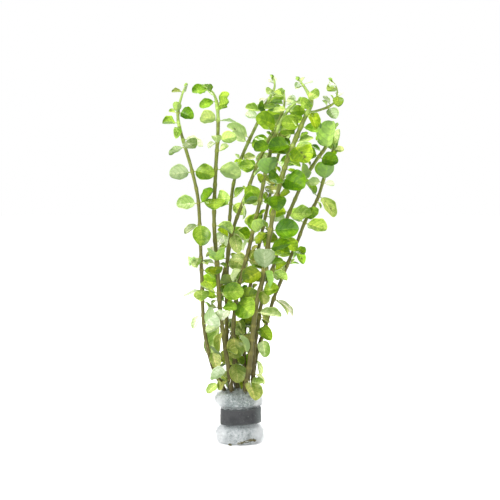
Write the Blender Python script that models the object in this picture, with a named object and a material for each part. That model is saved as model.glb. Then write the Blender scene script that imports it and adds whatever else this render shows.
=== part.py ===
"""A tied bunch of rotala, an aquarium plant, standing on the wool plug that holds it.

Nine leafy stems and one side stem, an open sleeve of mineral wool squeezed round their feet, and
the soft metal strip that is wound round the wool. Sizes below are millimetres; the meshes are metres.
The bunch stands on its flat foot at z = 0, with +X to the right, +Y away from the viewer and +Z up.
"""

import math
from collections import namedtuple

import bmesh
import bpy
from mathutils import Vector
from mathutils.bvhtree import BVHTree

MM = 0.001

# The wool plug: (radius, height, shift to the right) from the foot up. The strip squeezes it into a waist.
PLUG_PROFILE = [
    (11.5, 0.0, 0.0),
    (12.4, 0.9, 0.0),
    (12.8, 2.9, -0.1),
    (12.7, 6.0, -0.1),
    (11.8, 8.2, 0.1),
    (9.7, 9.4, 0.5),
    (9.6, 15.0, 0.6),
    (9.7, 20.6, 0.5),
    (11.9, 21.5, 0.0),
    (13.1, 23.6, -0.6),
    (12.6, 25.9, -0.7),
    (10.8, 27.6, -0.5),
    (7.6, 28.4, -0.4),
]
PLUG_TOP = PLUG_PROFILE[-1][1]
PLUG_SIDES = 20
PLUG_LUMP = 0.25
PLUG_GREY = (0.72, 0.76, 0.77)

# The metal strip, wound once and a third round the waist.
STRIP_WIDTH = 8.8
STRIP_THICK = 0.55
STRIP_FIRST_RADIUS = 10.15
STRIP_LAP_RISE = 0.85
STRIP_TURNS = 1.35
STRIP_END_DEG = -12.0
STRIP_MIDDLE = 15.3
STRIP_TILT = 0.6
STRIP_SHIFT = 0.6
STRIP_STEPS = 34
STRIP_GREY = (0.07, 0.07, 0.075)

# Stems: five sides, a slow taper and a fine tip.
STEM_SIDES = 5
STEM_TAPER = 0.3
STEM_TIP_LENGTH = 14.0
STEM_TIP_RADIUS = 0.34
BARE_TIP = 2.2
JOINT_HALF = 0.5
LONGEST_INTERNODE = 19.0
CURVE_STEP = 0.5
BURIED_HEIGHTS = (9, 17, 30.5)
BORE_GAP = 0.35
STEM_GREEN = (0.30, 0.27, 0.07)

# Leaves: nearly round blades on short stalks.
STALK_BASE = 0.5
STALK_SHARE = 0.07
STALK_HALF_WIDTH = 0.34
BLADE_ROWS = (0.15, 0.50, 0.84)
SMALL_BLADE = 7.7
SMALL_BLADE_ROWS = (0.3, 0.75)
BLADE_WIDTH = 0.95
BLADE_WIDTH_SPREAD = 0.05
BLADE_HALF_THICK = 0.2
BLADE_BEND_DEG = 24.0
BLADE_BEND_SPREAD = 16.0
BLADE_CUP = 0.24
BLADE_CUP_SPREAD = 0.14

# Leaves that would touch another piece are turned aside, a few degrees at a time.
CLEARANCE = 0.32
NUDGES_DEG = (0, 6, 12, 18, 25, 33, 42, 52)
NUDGE_DIRECTIONS = 8

# A leaf: turn is its bearing round the stem (0 right, 90 back, 180 left, 270 front), lift its rise
# above the horizon, face how far its upper side is tipped to the front, size the blade's length.
Leaf = namedtuple("Leaf", "turn lift face size")
Shoot = namedtuple("Shoot", "name girth path joints")

SHOOTS = [
    Shoot(
        "leafy_stem_1",
        1.2,
        [(-8.5, -3, 0.8), (-7.2, -1.5, 16), (-8.5, -2.5, 29.3), (-14.5, -5, 41.6), (-19.4, -8, 63.8),
         (-20.9, -11, 96.6), (-21.8, -12, 121.3), (-22.8, -12, 137.1), (-25.9, -13, 151.9),
         (-29.8, -14, 165.6), (-33.3, -14, 178.4), (-33.5, -14, 185.3), (-31.6, -13, 193.2),
         (-29.6, -13, 198.7)],
        {
            34: [Leaf(193, -40, 36, 7.5)],
            51.7: [Leaf(335, -72, 20, 9)],
            67.5: [Leaf(301, 62, -70, 12)],
            72: [Leaf(178, -62, 40, 8)],
            86.7: [Leaf(180, -24, 0, 9), Leaf(268, -36, 0, 9)],
            97.5: [Leaf(20, -35, 50, 9)],
            101.6: [Leaf(310, -12, 10, 4)],
            103.5: [Leaf(180, -33, 28, 6)],
            123: [Leaf(285, -72, 0, 11.5), Leaf(185, -38, 35, 8)],
            134.8: [Leaf(180, -5, 60, 10), Leaf(345, 47, 40, 9.5)],
            151.9: [Leaf(180, -8, -60, 10.5), Leaf(350, -14, 62, 10.5)],
            165.6: [Leaf(180, -30, 35, 8)],
            169.5: [Leaf(349, -22, -40, 10)],
            176.7: [Leaf(250, -62, 24, 7)],
            178.7: [Leaf(190, -4, 40, 7)],
            184.3: [Leaf(258, 65, 0, 5.5), Leaf(338, -20, 60, 8), Leaf(188, 5, 40, 3.5)],
            195.5: [Leaf(180, -5, 20, 5), Leaf(350, 84, 0, 4)],
        },
    ),
    Shoot(
        "leafy_stem_2",
        1.35,
        [(-4.8, -10, 1.4), (-4.1, -6.2, 9), (-3.8, -5.4, 16), (-4.4, -6, 29.8), (-7.7, -9, 53),
         (-10.7, -10.5, 74.9), (-12, -11, 96.6), (-13.9, -11, 123.3), (-13.1, -9, 151.9),
         (-11.8, -7, 174.8), (-12.3, -6, 188.7), (-14.5, -6, 195.1), (-19.3, -6, 198.8)],
        {
            41.5: [Leaf(217, -16, -72, 10.5)],
            70: [Leaf(280, 32, 0, 10.5)],
            76.9: [Leaf(330, -15, 40, 8), Leaf(190, 0, 30, 4.5)],
            84.8: [Leaf(172, -3, 30, 9.5), Leaf(355, 2, 70, 11.5)],
            99.6: [Leaf(262, -28, 0, 9)],
            103: [Leaf(270, 22, 0, 11.5), Leaf(90, 38, 0, 10)],
            122.3: [Leaf(355, -28, 30, 9)],
            137.1: [Leaf(270, -30, 0, 11.5), Leaf(300, 0, 80, 9.5)],
            153.6: [Leaf(0, -18, -50, 12), Leaf(192, -12, 45, 6)],
            167.8: [Leaf(185, -38, 60, 4.5), Leaf(266, 30, 0, 6.5)],
            169.8: [Leaf(355, 8, -62, 8.5)],
            180.2: [Leaf(222, 8, -60, 10.5), Leaf(0, -8, 0, 8)],
            188: [Leaf(305, 8, 72, 9.5)],
            191.2: [Leaf(182, -22, 45, 8)],
            196.2: [Leaf(237, 72, 88, 4)],
            198: [Leaf(180, -5, 65, 7.5), Leaf(215, -30, 5, 5)],
        },
    ),
    Shoot(
        "leafy_stem_3",
        1.2,
        [(-5.5, 3, 0.8), (-4.6, 2.2, 16), (-5.5, 2.5, 28.7), (-6.9, 4, 48.5), (-7.3, 6, 68.5),
         (-7, 8, 95.5), (-5.7, 10, 123.8), (-3.6, 11, 144), (0.5, 12, 158.2), (5.3, 13, 169.4),
         (10.7, 14, 180.6), (15.9, 15, 191.8), (19.6, 15, 198.9), (19.8, 15, 203), (18.8, 15, 205.5)],
        {
            44: [Leaf(120, -30, 20, 9)],
            64: [Leaf(345, -25, 45, 9)],
            81: [Leaf(100, 10, 0, 10)],
            93: [Leaf(0, -20, 60, 8.5)],
            103: [Leaf(325, -22, 55, 12), Leaf(160, 10, 40, 9)],
            118: [Leaf(200, -55, 30, 9.5), Leaf(30, -10, 40, 9)],
            133.5: [Leaf(345, -42, 60, 8), Leaf(150, -10, 30, 5)],
            159.3: [Leaf(286, -36, 0, 12.5), Leaf(20, 15, 30, 7)],
            169: [Leaf(352, -12, 70, 10.5)],
            171: [Leaf(168, 26, -40, 13)],
            183: [Leaf(180, 15, -50, 7)],
            186: [Leaf(195, 8, 35, 8.5), Leaf(345, -12, 45, 9.5), Leaf(120, 20, 0, 9.5)],
            190: [Leaf(345, -15, 10, 8)],
            193: [Leaf(325, 0, 35, 8.5), Leaf(190, -45, 30, 5)],
            198: [Leaf(240, -20, 45, 6.5), Leaf(305, -25, 45, 7.5)],
            202.5: [Leaf(100, 60, 0, 3.5), Leaf(200, 10, 30, 3.5)],
        },
    ),
    Shoot(
        "leafy_stem_4",
        1.25,
        [(-1.5, 7, 0.8), (-1.2, 6, 16), (-1.6, 7, 28), (-4.6, 8, 40), (-9.4, 7, 60.3),
         (-10.9, 5, 74.6), (-10.1, 3, 88.8), (-6.8, 0.5, 102), (-5, -1, 114), (-2, -2, 124.5),
         (2.4, -3, 135.6), (6.6, -4, 147), (10.9, -5, 157.9), (15.9, -6, 168.8), (21.9, -7, 179.7),
         (24.8, -7, 188.6), (24.8, -7, 195.6)],
        {
            66: [Leaf(150, -75, 88, 19.5), Leaf(20, -30, 40, 9)],
            89: [Leaf(175, 8, 80, 10), Leaf(300, -30, 30, 9)],
            117.5: [Leaf(350, -15, 45, 12), Leaf(325, -75, 60, 10)],
            134.2: [Leaf(224, -75, -76, 8.5)],
            136: [Leaf(20, -5, 45, 9)],
            145: [Leaf(295, -72, 0, 10)],
            155: [Leaf(350, -20, 50, 9), Leaf(190, -5, 40, 8)],
            164.6: [Leaf(90, 30, 0, 11)],
            178: [Leaf(300, -10, 20, 10), Leaf(120, 20, 0, 10)],
            187: [Leaf(10, -10, -40, 8), Leaf(190, -5, 15, 9)],
            191: [Leaf(330, -20, -50, 6)],
            194: [Leaf(200, 20, 30, 5)],
        },
    ),
    Shoot(
        "leafy_stem_5",
        1.35,
        [(1.4, -10.4, 1.4), (0.2, -5.6, 9), (-0.5, -3.5, 16), (-1, -2, 29.3), (-2.6, -3, 46.3),
         (-3.5, -4.5, 61.4), (-2.5, -6, 75.5), (0.3, -7.5, 91), (5, -9, 108), (8.8, -10, 124.7),
         (11.6, -11, 136.1), (13.8, -12, 148), (17.4, -13, 163.3), (20.8, -14, 174.5),
         (24.7, -15, 182.3), (29.5, -16, 188.2), (33, -16, 191.1)],
        {
            45.5: [Leaf(272, -76, 0, 10.5)],
            60: [Leaf(272, -72, 0, 11.5)],
            80: [Leaf(345, 18, 70, 12), Leaf(310, -28, 60, 13.5)],
            91: [Leaf(170, -10, -50, 9)],
            103: [Leaf(185, 5, 50, 6), Leaf(350, -15, 40, 8)],
            118.5: [Leaf(60, 60, 0, 11.5), Leaf(323, 55, -20, 8.5)],
            136: [Leaf(180, -10, 50, 8), Leaf(0, -20, 40, 8)],
            150.5: [Leaf(285, 45, 0, 12)],
            153.5: [Leaf(85, 35, 0, 10)],
            164.6: [Leaf(350, -20, 40, 11)],
            166.5: [Leaf(200, -20, 50, 9)],
            174.5: [Leaf(340, 10, 60, 9)],
            176.5: [Leaf(201, 20, 64, 12)],
            185: [Leaf(180, -10, 30, 7), Leaf(350, -35, 50, 7)],
            191: [Leaf(300, -20, 20, 4), Leaf(170, 50, 20, 4)],
        },
    ),
    Shoot(
        "leafy_stem_6",
        1.6,
        [(4.9, -9.8, 1.6), (3.9, -6, 9), (3.5, -5.2, 16), (3.5, -6.5, 29.9), (5.5, -9, 43.1),
         (7.6, -12, 64.2), (9.4, -14, 78.1), (13.4, -16, 95), (15.8, -17, 111.7), (18.9, -18, 130.3),
         (22.1, -18, 144), (26.2, -18, 157.7), (31.6, -18, 171.4), (36.4, -17.5, 182.2),
         (39.3, -17, 188.1), (38.9, -17, 192), (35.6, -17, 197.9), (32.2, -17, 202.2)],
        {
            36: [Leaf(300, -52, 0, 11.5)],
            51.5: [Leaf(216, 64, -16, 11)],
            74.8: [Leaf(352, -10, 14, 12)],
            87: [Leaf(340, 10, 68, 8.5), Leaf(300, -70, 0, 7.5)],
            97: [Leaf(192, -30, 60, 10.5)],
            99: [Leaf(268, 52, 0, 13)],
            110: [Leaf(350, 12, 40, 11), Leaf(320, -50, 40, 10.5)],
            118: [Leaf(166, -46, 44, 8)],
            120: [Leaf(352, 4, 64, 13)],
            138.5: [Leaf(268, -48, 0, 10.5), Leaf(75, 10, 0, 9)],
            148.5: [Leaf(318, -18, 50, 14.5), Leaf(238, -8, 50, 10.5)],
            154: [Leaf(90, 25, 0, 8)],
            166: [Leaf(305, -35, 30, 14.5), Leaf(182, -8, 50, 11)],
            177: [Leaf(190, 5, 70, 9), Leaf(350, -20, 40, 7.5)],
            184.5: [Leaf(200, -8, 65, 7), Leaf(318, -64, 40, 9.5)],
            191: [Leaf(236, -28, 55, 8.5)],
            194.5: [Leaf(305, -20, 50, 8)],
            199: [Leaf(350, 10, 30, 4.5), Leaf(200, -25, 40, 3.5)],
            202: [Leaf(215, -40, 50, 3.5), Leaf(45, 40, 0, 3)],
        },
    ),
    Shoot(
        "side_stem",
        0.7,
        [(39, -16.8, 184.1), (42.1, -16.6, 184.8), (45.4, -16, 185.8), (48.8, -15.5, 187.1),
         (52, -15, 189.4), (53.5, -15, 192.6), (53.7, -15, 195.9), (52.6, -15, 199),
         (50.4, -15, 201.8)],
        {
            186.9: [Leaf(330, -50, 50, 7)],
            188.2: [Leaf(176, 45, 30, 5.5)],
            193: [Leaf(275, -60, 0, 6.5), Leaf(60, 20, 0, 5)],
            197.5: [Leaf(225, -15, 50, 6.5)],
            201.4: [Leaf(215, -25, 40, 4.5)],
        },
    ),
    Shoot(
        "leafy_stem_7",
        1.3,
        [(8.2, -7.5, 0.6), (6.6, -2.6, 16), (7.5, -2, 29.3), (8, 0, 49), (10, 2, 62.8),
         (12.6, 4, 78.7), (18.3, 5, 96.1), (21.7, 5, 107.4), (26.3, 5, 124.3), (30.9, 4, 135.6),
         (36.2, 3, 147), (42.9, 2, 158), (47.9, 1, 165), (50.5, 0, 171), (53.9, -1, 177.5)],
        {
            65: [Leaf(320, -42, 55, 10), Leaf(170, 10, 30, 9)],
            79: [Leaf(80, 0, 0, 10)],
            96: [Leaf(350, -35, 50, 8), Leaf(170, 10, 30, 8)],
            114: [Leaf(185, -5, 50, 9), Leaf(340, -40, 50, 9)],
            129: [Leaf(182, -10, 50, 9.5), Leaf(345, 0, 55, 10.5)],
            147: [Leaf(262, 72, 50, 9.5)],
            160.5: [Leaf(190, 0, 60, 9), Leaf(340, -14, 70, 9.5)],
            165.5: [Leaf(300, 72, 0, 15), Leaf(90, 40, 0, 11)],
            174.2: [Leaf(100, 40, 0, 5)],
        },
    ),
    Shoot(
        "leafy_stem_8",
        1.25,
        [(7, 4.8, 0.8), (6, 3.8, 16), (7, 4.5, 28.4), (9.5, 7, 48.2), (14.1, 9, 62.1),
         (19, 11, 78.8), (23.6, 12, 90.2), (28, 12, 101.4), (32.9, 12, 112.6), (37.4, 12, 124.1),
         (43.7, 11, 135.5), (47.4, 10, 147), (50.3, 9, 158.1), (53.4, 8, 166.2)],
        {
            46: [Leaf(320, -80, 15, 9), Leaf(200, -75, 15, 9)],
            57: [Leaf(300, -72, 35, 9.5)],
            80: [Leaf(346, -44, 12, 13)],
            93: [Leaf(185, -15, 40, 8)],
            98.5: [Leaf(192, -64, 36, 9)],
            109: [Leaf(330, -65, 45, 9), Leaf(190, -10, 40, 9), Leaf(310, -25, 30, 7)],
            123: [Leaf(332, -16, 40, 12), Leaf(185, 35, -50, 9)],
            132.3: [Leaf(255, -50, 0, 9)],
            138.3: [Leaf(345, -57, 40, 13), Leaf(183, 62, 20, 11)],
            146: [Leaf(185, -5, -50, 7), Leaf(0, -15, -40, 5)],
            148: [Leaf(285, 56, 0, 11), Leaf(90, 55, 0, 11)],
            159.5: [Leaf(0, 54, 36, 5.5)],
            165: [Leaf(0, 5, 60, 5), Leaf(180, 30, 0, 4)],
        },
    ),
    Shoot(
        "leafy_stem_9",
        1.2,
        [(3.2, 2.4, 0.8), (2.4, 1.6, 16), (3, 2.5, 28.7), (2.6, 5, 48.4), (3.4, 7, 67.4),
         (5.5, 9, 84.4), (9.2, 11, 101.4), (12.9, 13, 118.6), (16.7, 15, 135.8), (19, 16, 147),
         (21.3, 17, 158.3), (24.8, 18, 169.5), (29, 18, 179.7), (32, 18, 186.9)],
        {
            60: [Leaf(270, -20, 0, 9)],
            69: [Leaf(80, 10, 0, 9)],
            91: [Leaf(0, 0, 50, 9), Leaf(180, 0, 50, 10)],
            122: [Leaf(180, 10, 50, 9)],
            127: [Leaf(0, -10, 50, 9)],
            144: [Leaf(270, -30, 0, 9), Leaf(90, 20, 0, 10)],
            158: [Leaf(0, 0, 50, 10), Leaf(180, 5, 50, 10)],
            169: [Leaf(270, 20, 0, 10), Leaf(90, 20, 0, 10)],
            180: [Leaf(180, 10, 40, 7), Leaf(0, 10, 40, 7)],
        },
    ),
]

UP = Vector((0, 0, 1))
FRONT = Vector((0, -1, 0))
GOLDEN = 0.6180339887


def vary(index, salt):
    """A fixed, even spread of values from -1 to 1, one for each leaf and each salt."""
    return 2 * math.modf((index + 1) * GOLDEN * (1 + 0.37 * salt))[0] - 1


def clear_scene():
    for obj in list(bpy.data.objects):
        bpy.data.objects.remove(obj, do_unlink=True)


def material(name, colour, roughness, metallic=0.0):
    made = bpy.data.materials.new(name)
    made.use_nodes = True
    shader = made.node_tree.nodes["Principled BSDF"]
    shader.inputs["Base Color"].default_value = (*colour, 1)
    shader.inputs["Roughness"].default_value = roughness
    shader.inputs["Metallic"].default_value = metallic
    return made


def add_object(name, bm, finish, smooth_deg=40):
    """Turns a bmesh in millimetres into an object in metres."""
    bmesh.ops.scale(bm, vec=(MM, MM, MM), verts=bm.verts)
    mesh = bpy.data.meshes.new(name)
    bm.to_mesh(mesh)
    bm.free()
    mesh.shade_smooth()
    mesh.set_sharp_from_angle(angle=math.radians(smooth_deg))
    obj = bpy.data.objects.new(name, mesh)
    bpy.context.scene.collection.objects.link(obj)
    if finish:
        mesh.materials.append(finish)
    return obj


class StemLine:
    """The smooth centre line of a stem, with frames that don't twist, measured along its length."""

    def __init__(self, shoot):
        self.girth = shoot.girth
        self.points = smooth_curve([Vector(p) for p in shoot.path])
        self.lengths = [0.0]
        for a, b in zip(self.points, self.points[1:]):
            self.lengths.append(self.lengths[-1] + (b - a).length)
        self.total = self.lengths[-1]
        self.sides = self.untwisted_sides()
        stands = self.points[0].z < BURIED_HEIGHTS[0]
        self.buried = [0.0] + [self.length_at_height(h) for h in BURIED_HEIGHTS if stands]

    def tangent(self, i):
        low, high = max(i - 1, 0), min(i + 1, len(self.points) - 1)
        return (self.points[high] - self.points[low]).normalized()

    def untwisted_sides(self):
        start = self.tangent(0)
        reference = Vector((1, 0, 0)) if abs(start.x) < 0.8 else UP
        side = (reference - start * reference.dot(start)).normalized()
        sides = [side]
        for i in range(1, len(self.points)):
            along = self.tangent(i)
            side = (side - along * side.dot(along)).normalized()
            sides.append(side)
        return sides

    def index_at(self, length):
        return min(range(len(self.lengths)), key=lambda i: abs(self.lengths[i] - length))

    def length_at_height(self, height):
        i = min(range(len(self.points)), key=lambda k: abs(self.points[k].z - height))
        return min(self.lengths[i], self.total - BARE_TIP)

    def radius(self, length):
        slim = self.girth * (1 - STEM_TAPER * length / self.total)
        left = min(max((self.total - length) / STEM_TIP_LENGTH, 0), 1)
        return STEM_TIP_RADIUS + (slim - STEM_TIP_RADIUS) * left ** 0.7

    def ring(self, length, extra=0.0, sides=STEM_SIDES):
        """Points round the stem at this distance along it, anticlockwise seen from the tip."""
        i = self.index_at(length)
        centre, along, side = self.points[i], self.tangent(i), self.sides[i]
        across = along.cross(side)
        radius = self.radius(length) + extra
        turns = [2 * math.pi * k / sides for k in range(sides)]
        return [centre + (side * math.cos(t) + across * math.sin(t)) * radius for t in turns]


def smooth_curve(points):
    """Points about CURVE_STEP apart on a smooth curve through the given ones."""
    made = []
    last = len(points) - 1
    slopes = []
    for i in range(len(points)):
        low, high = max(i - 1, 0), min(i + 1, last)
        slopes.append((points[high] - points[low]) / (high_low_span(points, low, high)))
    for i in range(last):
        a, b = points[i], points[i + 1]
        span = (b - a).length
        steps = max(2, round(span / CURVE_STEP))
        for k in range(steps):
            t = k / steps
            made.append(
                a * (2 * t ** 3 - 3 * t ** 2 + 1)
                + slopes[i] * span * (t ** 3 - 2 * t ** 2 + t)
                + b * (3 * t ** 2 - 2 * t ** 3)
                + slopes[i + 1] * span * (t ** 3 - t ** 2)
            )
    made.append(points[last])
    return made


def high_low_span(points, low, high):
    return sum((points[k + 1] - points[k]).length for k in range(low, high))


def outline(along):
    """Half the blade's width at a share of its length, as a share of the widest."""
    return math.sin(math.pi * along ** 0.92) ** 0.62


class LeafShape:
    """One leaf's place and form. index picks its own small differences in bend, cup and width."""

    def __init__(self, leaf, index, line, length):
        self.leaf, self.size = leaf, leaf.size
        self.rows = SMALL_BLADE_ROWS if leaf.size < SMALL_BLADE else BLADE_ROWS
        self.bend = math.radians(BLADE_BEND_DEG + BLADE_BEND_SPREAD * vary(index, 1))
        self.cup = BLADE_CUP + BLADE_CUP_SPREAD * vary(index, 2)
        self.half_width = 0.5 * leaf.size * (BLADE_WIDTH + BLADE_WIDTH_SPREAD * vary(index, 3))
        i = line.index_at(length)
        self.centre, self.along_stem, self.stem_radius = line.points[i], line.tangent(i), line.radius(length)
        self.pose(leaf.turn, leaf.lift, leaf.face)

    def pose(self, turn, lift, face):
        bearing = Vector((math.cos(math.radians(turn)), math.sin(math.radians(turn)), 0))
        tilt = math.radians(lift)
        self.axis = (bearing * math.cos(tilt) + UP * math.sin(tilt)).normalized()
        lid = UP - bearing * math.tan(tilt) if abs(lift) < 45 else UP / math.tan(tilt) - bearing
        lid = (lid - self.axis * lid.dot(self.axis)).normalized()
        if lid.dot(bearing * -math.sin(tilt) + UP * math.cos(tilt)) < 0:
            lid = -lid
        side = self.axis.cross(lid)
        if side.dot(FRONT) < 0:
            side = -side
        turned = math.radians(face)
        self.lid = (lid * math.cos(turned) + side * math.sin(turned)).normalized()
        self.right = self.lid.cross(self.axis)
        outward = bearing - self.along_stem * bearing.dot(self.along_stem)
        outward = outward.normalized() if outward.length > 0.2 else self.axis
        stalk = (outward + self.axis).normalized()
        stalk_length = STALK_BASE + STALK_SHARE * self.size
        self.root = self.centre + outward * self.stem_radius + stalk * stalk_length

    def spine(self, along):
        """(point, direction, upward) on the blade's midrib, which arches down towards the tip."""
        start = self.bend * 0.5
        reach = self.size * along
        angle = start - self.bend * along
        forward = reach * math.cos((start + angle) / 2)
        rise = reach * math.sin((start + angle) / 2)
        direction = self.axis * math.cos(angle) + self.lid * math.sin(angle)
        upward = self.lid * math.cos(angle) - self.axis * math.sin(angle)
        return self.root + self.axis * forward + self.lid * rise, direction, upward

    def row(self, along, grow=0.0):
        """The blade's four corners: right edge, upper midrib, left edge, lower midrib."""
        point, _, upward = self.spine(along)
        half = self.half_width * outline(along) + grow
        rise = upward * (self.cup * half)
        thick = upward * (BLADE_HALF_THICK + grow)
        sink = rise * 0.35
        return [
            point + self.right * half + rise - sink,
            point + thick - sink,
            point - self.right * half + rise - sink,
            point - thick - sink,
        ]

    def stalk_end(self, grow=0.0):
        half = STALK_HALF_WIDTH + grow
        _, _, upward = self.spine(0)
        return [
            self.root + self.right * half,
            self.root + upward * half * 0.8,
            self.root - self.right * half,
            self.root - upward * half * 0.8,
        ]

    def tip(self, grow=0.0):
        point, direction, _ = self.spine(1)
        return point + direction * grow

    def body(self, grow=0.0):
        """(points, faces) of the closed blade, without the part of the stalk that joins the stem."""
        rings = [self.stalk_end(grow)] + [self.row(along, grow) for along in self.rows]
        points = [p for ring in rings for p in ring] + [self.tip(grow)]
        faces = [(0, 3, 2, 1)]
        for i in range(len(rings) - 1):
            for k in range(4):
                n = (k + 1) % 4
                faces.append((4 * i + k, 4 * i + n, 4 * i + 4 + n, 4 * i + 4 + k))
        last = 4 * (len(rings) - 1)
        faces += [(last + k, last + (k + 1) % 4, len(points) - 1) for k in range(4)]
        return points, faces


def stem_tree(line, extra):
    """A search tree of the stem's tube, grown by extra."""
    rings = [line.ring(line.total * k / 90, extra) for k in range(91)]
    points = [p for ring in rings for p in ring]
    faces = []
    for i in range(len(rings) - 1):
        for k in range(STEM_SIDES):
            n = (k + 1) % STEM_SIDES
            a = STEM_SIDES * i
            faces.append((a + k, a + n, a + STEM_SIDES + n, a + STEM_SIDES + k))
    return BVHTree.FromPolygons(points, faces)


def settle(shapes, obstacles):
    """Turns each leaf that would touch a stem, the wool or an earlier leaf a little aside.

    The leaves nearest the front are placed first and keep the place that they were given. Returns
    the shapes that found room.
    """
    placed = []
    for shape in sorted(shapes, key=lambda s: s.root.y):
        leaf = shape.leaf
        for turn, lift in nudges():
            shape.pose(leaf.turn + turn, leaf.lift + lift, leaf.face)
            tree = BVHTree.FromPolygons(*shape.body(CLEARANCE))
            if any(tree.overlap(other) for other in obstacles):
                continue
            near = [
                other for other, blade in placed
                if (other.root - shape.root).length < 1.2 * (other.size + shape.size) and tree.overlap(blade)
            ]
            if not near:
                placed.append((shape, BVHTree.FromPolygons(*shape.body())))
                break
    return [shape for shape, _ in placed]


def nudges():
    yield 0, 0
    for reach in NUDGES_DEG[1:]:
        for k in range(NUDGE_DIRECTIONS):
            angle = 2 * math.pi * k / NUDGE_DIRECTIONS
            yield reach * math.cos(angle), reach * math.sin(angle)


def ring_lengths(line, joints):
    """Where the stem's rings go: a close pair at each joint, and enough between to follow its curve."""
    pairs = sorted((length - JOINT_HALF, length + JOINT_HALF) for length in joints)
    places = list(line.buried)
    for low, high in pairs + [(line.total, line.total)]:
        gap = low - places[-1]
        between = int(gap // LONGEST_INTERNODE)
        places += [places[-1] + gap * (k + 1) / (between + 1) for k in range(between)]
        places += [low, high] if high > low else [line.total - 0.6]
    return places


def grow_stem(shoot, line, leaves, finish):
    """One leafy stem as a single skin: each leaf grows out of a face of the stem at its joint."""
    bm = bmesh.new()
    lengths = ring_lengths(line, sorted({length for length, _ in leaves}))
    rings = [[bm.verts.new(p) for p in line.ring(s)] for s in lengths]
    taken = {}
    for length, shape in leaves:
        low = lengths.index(length - JOINT_HALF)
        taken[(low, free_side(rings, low, shape, taken))] = shape
    for i in range(len(rings) - 1):
        for k in range(STEM_SIDES):
            n = (k + 1) % STEM_SIDES
            corners = [rings[i][k], rings[i][n], rings[i + 1][n], rings[i + 1][k]]
            if (i, k) in taken:
                grow_leaf(bm, corners, taken[(i, k)])
            else:
                bm.faces.new(corners)
    bm.faces.new(rings[0][::-1])
    bud = bm.verts.new(line.points[-1])
    for k in range(STEM_SIDES):
        bm.faces.new((rings[-1][k], rings[-1][(k + 1) % STEM_SIDES], bud))
    return add_object(shoot.name, bm, finish)


def free_side(rings, low, shape, taken):
    """The free face of the stem that looks most nearly along the leaf's stalk."""
    centre = sum((v.co for v in rings[low]), Vector()) / STEM_SIDES
    wanted = shape.root - centre

    def match(k):
        middle = (rings[low][k].co + rings[low][(k + 1) % STEM_SIDES].co) / 2 - centre
        return middle.normalized().dot(wanted)

    return max((k for k in range(STEM_SIDES) if (low, k) not in taken), key=match)


def grow_leaf(bm, corners, shape):
    """Draws a leaf out of one four-cornered hole in the stem."""
    rings = [shape.stalk_end()] + [shape.row(along) for along in shape.rows]
    rings = [[bm.verts.new(p) for p in ring] for ring in rings]
    shifts = [rings[0][k:] + rings[0][:k] for k in range(4)]
    nearest = min(shifts, key=lambda ring: sum((a.co - b.co).length for a, b in zip(corners, ring)))
    join_rings(bm, corners, nearest)
    for low, high in zip(rings, rings[1:]):
        join_rings(bm, low, high)
    tip = bm.verts.new(shape.tip())
    for k in range(4):
        bm.faces.new((rings[-1][k], rings[-1][(k + 1) % 4], tip))


def join_rings(bm, low, high):
    for k in range(len(low)):
        n = (k + 1) % len(low)
        bm.faces.new((low[k], low[n], high[n], high[k]))


def plug_ring(radius, height, aside):
    """A lumpy ring of the wool. The foot stays flat, because only the radius varies."""
    points = []
    for k in range(PLUG_SIDES):
        t = 2 * math.pi * k / PLUG_SIDES
        lump = PLUG_LUMP * (math.sin(3 * t + 0.35 * height) + 0.6 * math.sin(5 * t - 0.5 * height))
        reach = radius + lump * (radius - 9.0) / 4
        points.append(Vector((aside + reach * math.cos(t), reach * math.sin(t), height)))
    return points


def plug_mesh():
    bm = bmesh.new()
    rings = [[bm.verts.new(p) for p in plug_ring(*row)] for row in PLUG_PROFILE]
    for low, high in zip(rings, rings[1:]):
        join_rings(bm, low, high)
    bm.faces.new(rings[0][::-1])
    bm.faces.new(rings[-1])
    return bm


def wool_plug(lines, finish):
    """The wool sleeve, with a bore for each stem that stands in it."""
    plug = add_object("wool_plug", plug_mesh(), finish)
    bm = bmesh.new()
    for line in lines:
        drop = (line.points[0] - line.points[1]).normalized() * 3
        rings = [line.ring(length, BORE_GAP) for length in line.buried]
        rings.insert(0, [p + drop for p in rings[0]])
        rings = [[bm.verts.new(p) for p in ring] for ring in rings]
        for low, high in zip(rings, rings[1:]):
            join_rings(bm, low, high)
        bm.faces.new(rings[0][::-1])
        bm.faces.new(rings[-1])
    cutter = add_object("stem_bores", bm, None)
    cutter.hide_render = True
    cutter.display_type = "WIRE"
    bores = plug.modifiers.new("bores", "BOOLEAN")
    bores.operation = "DIFFERENCE"
    bores.solver = "EXACT"
    bores.object = cutter
    return plug


def metal_strip(finish):
    """The soft metal strip: one flat ribbon wound round the waist with a lap at the front."""
    bm = bmesh.new()
    rings = []
    middle_line = Vector((STRIP_SHIFT, 0, 0))
    for k in range(STRIP_STEPS + 1):
        turned = STRIP_TURNS * k / STRIP_STEPS
        angle = math.radians(STRIP_END_DEG) + 2 * math.pi * (turned - STRIP_TURNS)
        inner = STRIP_FIRST_RADIUS + STRIP_LAP_RISE * turned
        middle = STRIP_MIDDLE + STRIP_TILT * math.cos(angle)
        out = Vector((math.cos(angle), math.sin(angle), 0))
        low, high = middle - STRIP_WIDTH / 2, middle + STRIP_WIDTH / 2
        corners = [(inner, low), (inner + STRIP_THICK, low), (inner + STRIP_THICK, high), (inner, high)]
        rings.append([bm.verts.new(middle_line + out * r + UP * z) for r, z in corners])
    for low, high in zip(rings, rings[1:]):
        join_rings(bm, high, low)
    bm.faces.new(rings[0])
    bm.faces.new(rings[-1][::-1])
    return add_object("metal_strip", bm, finish)


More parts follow.
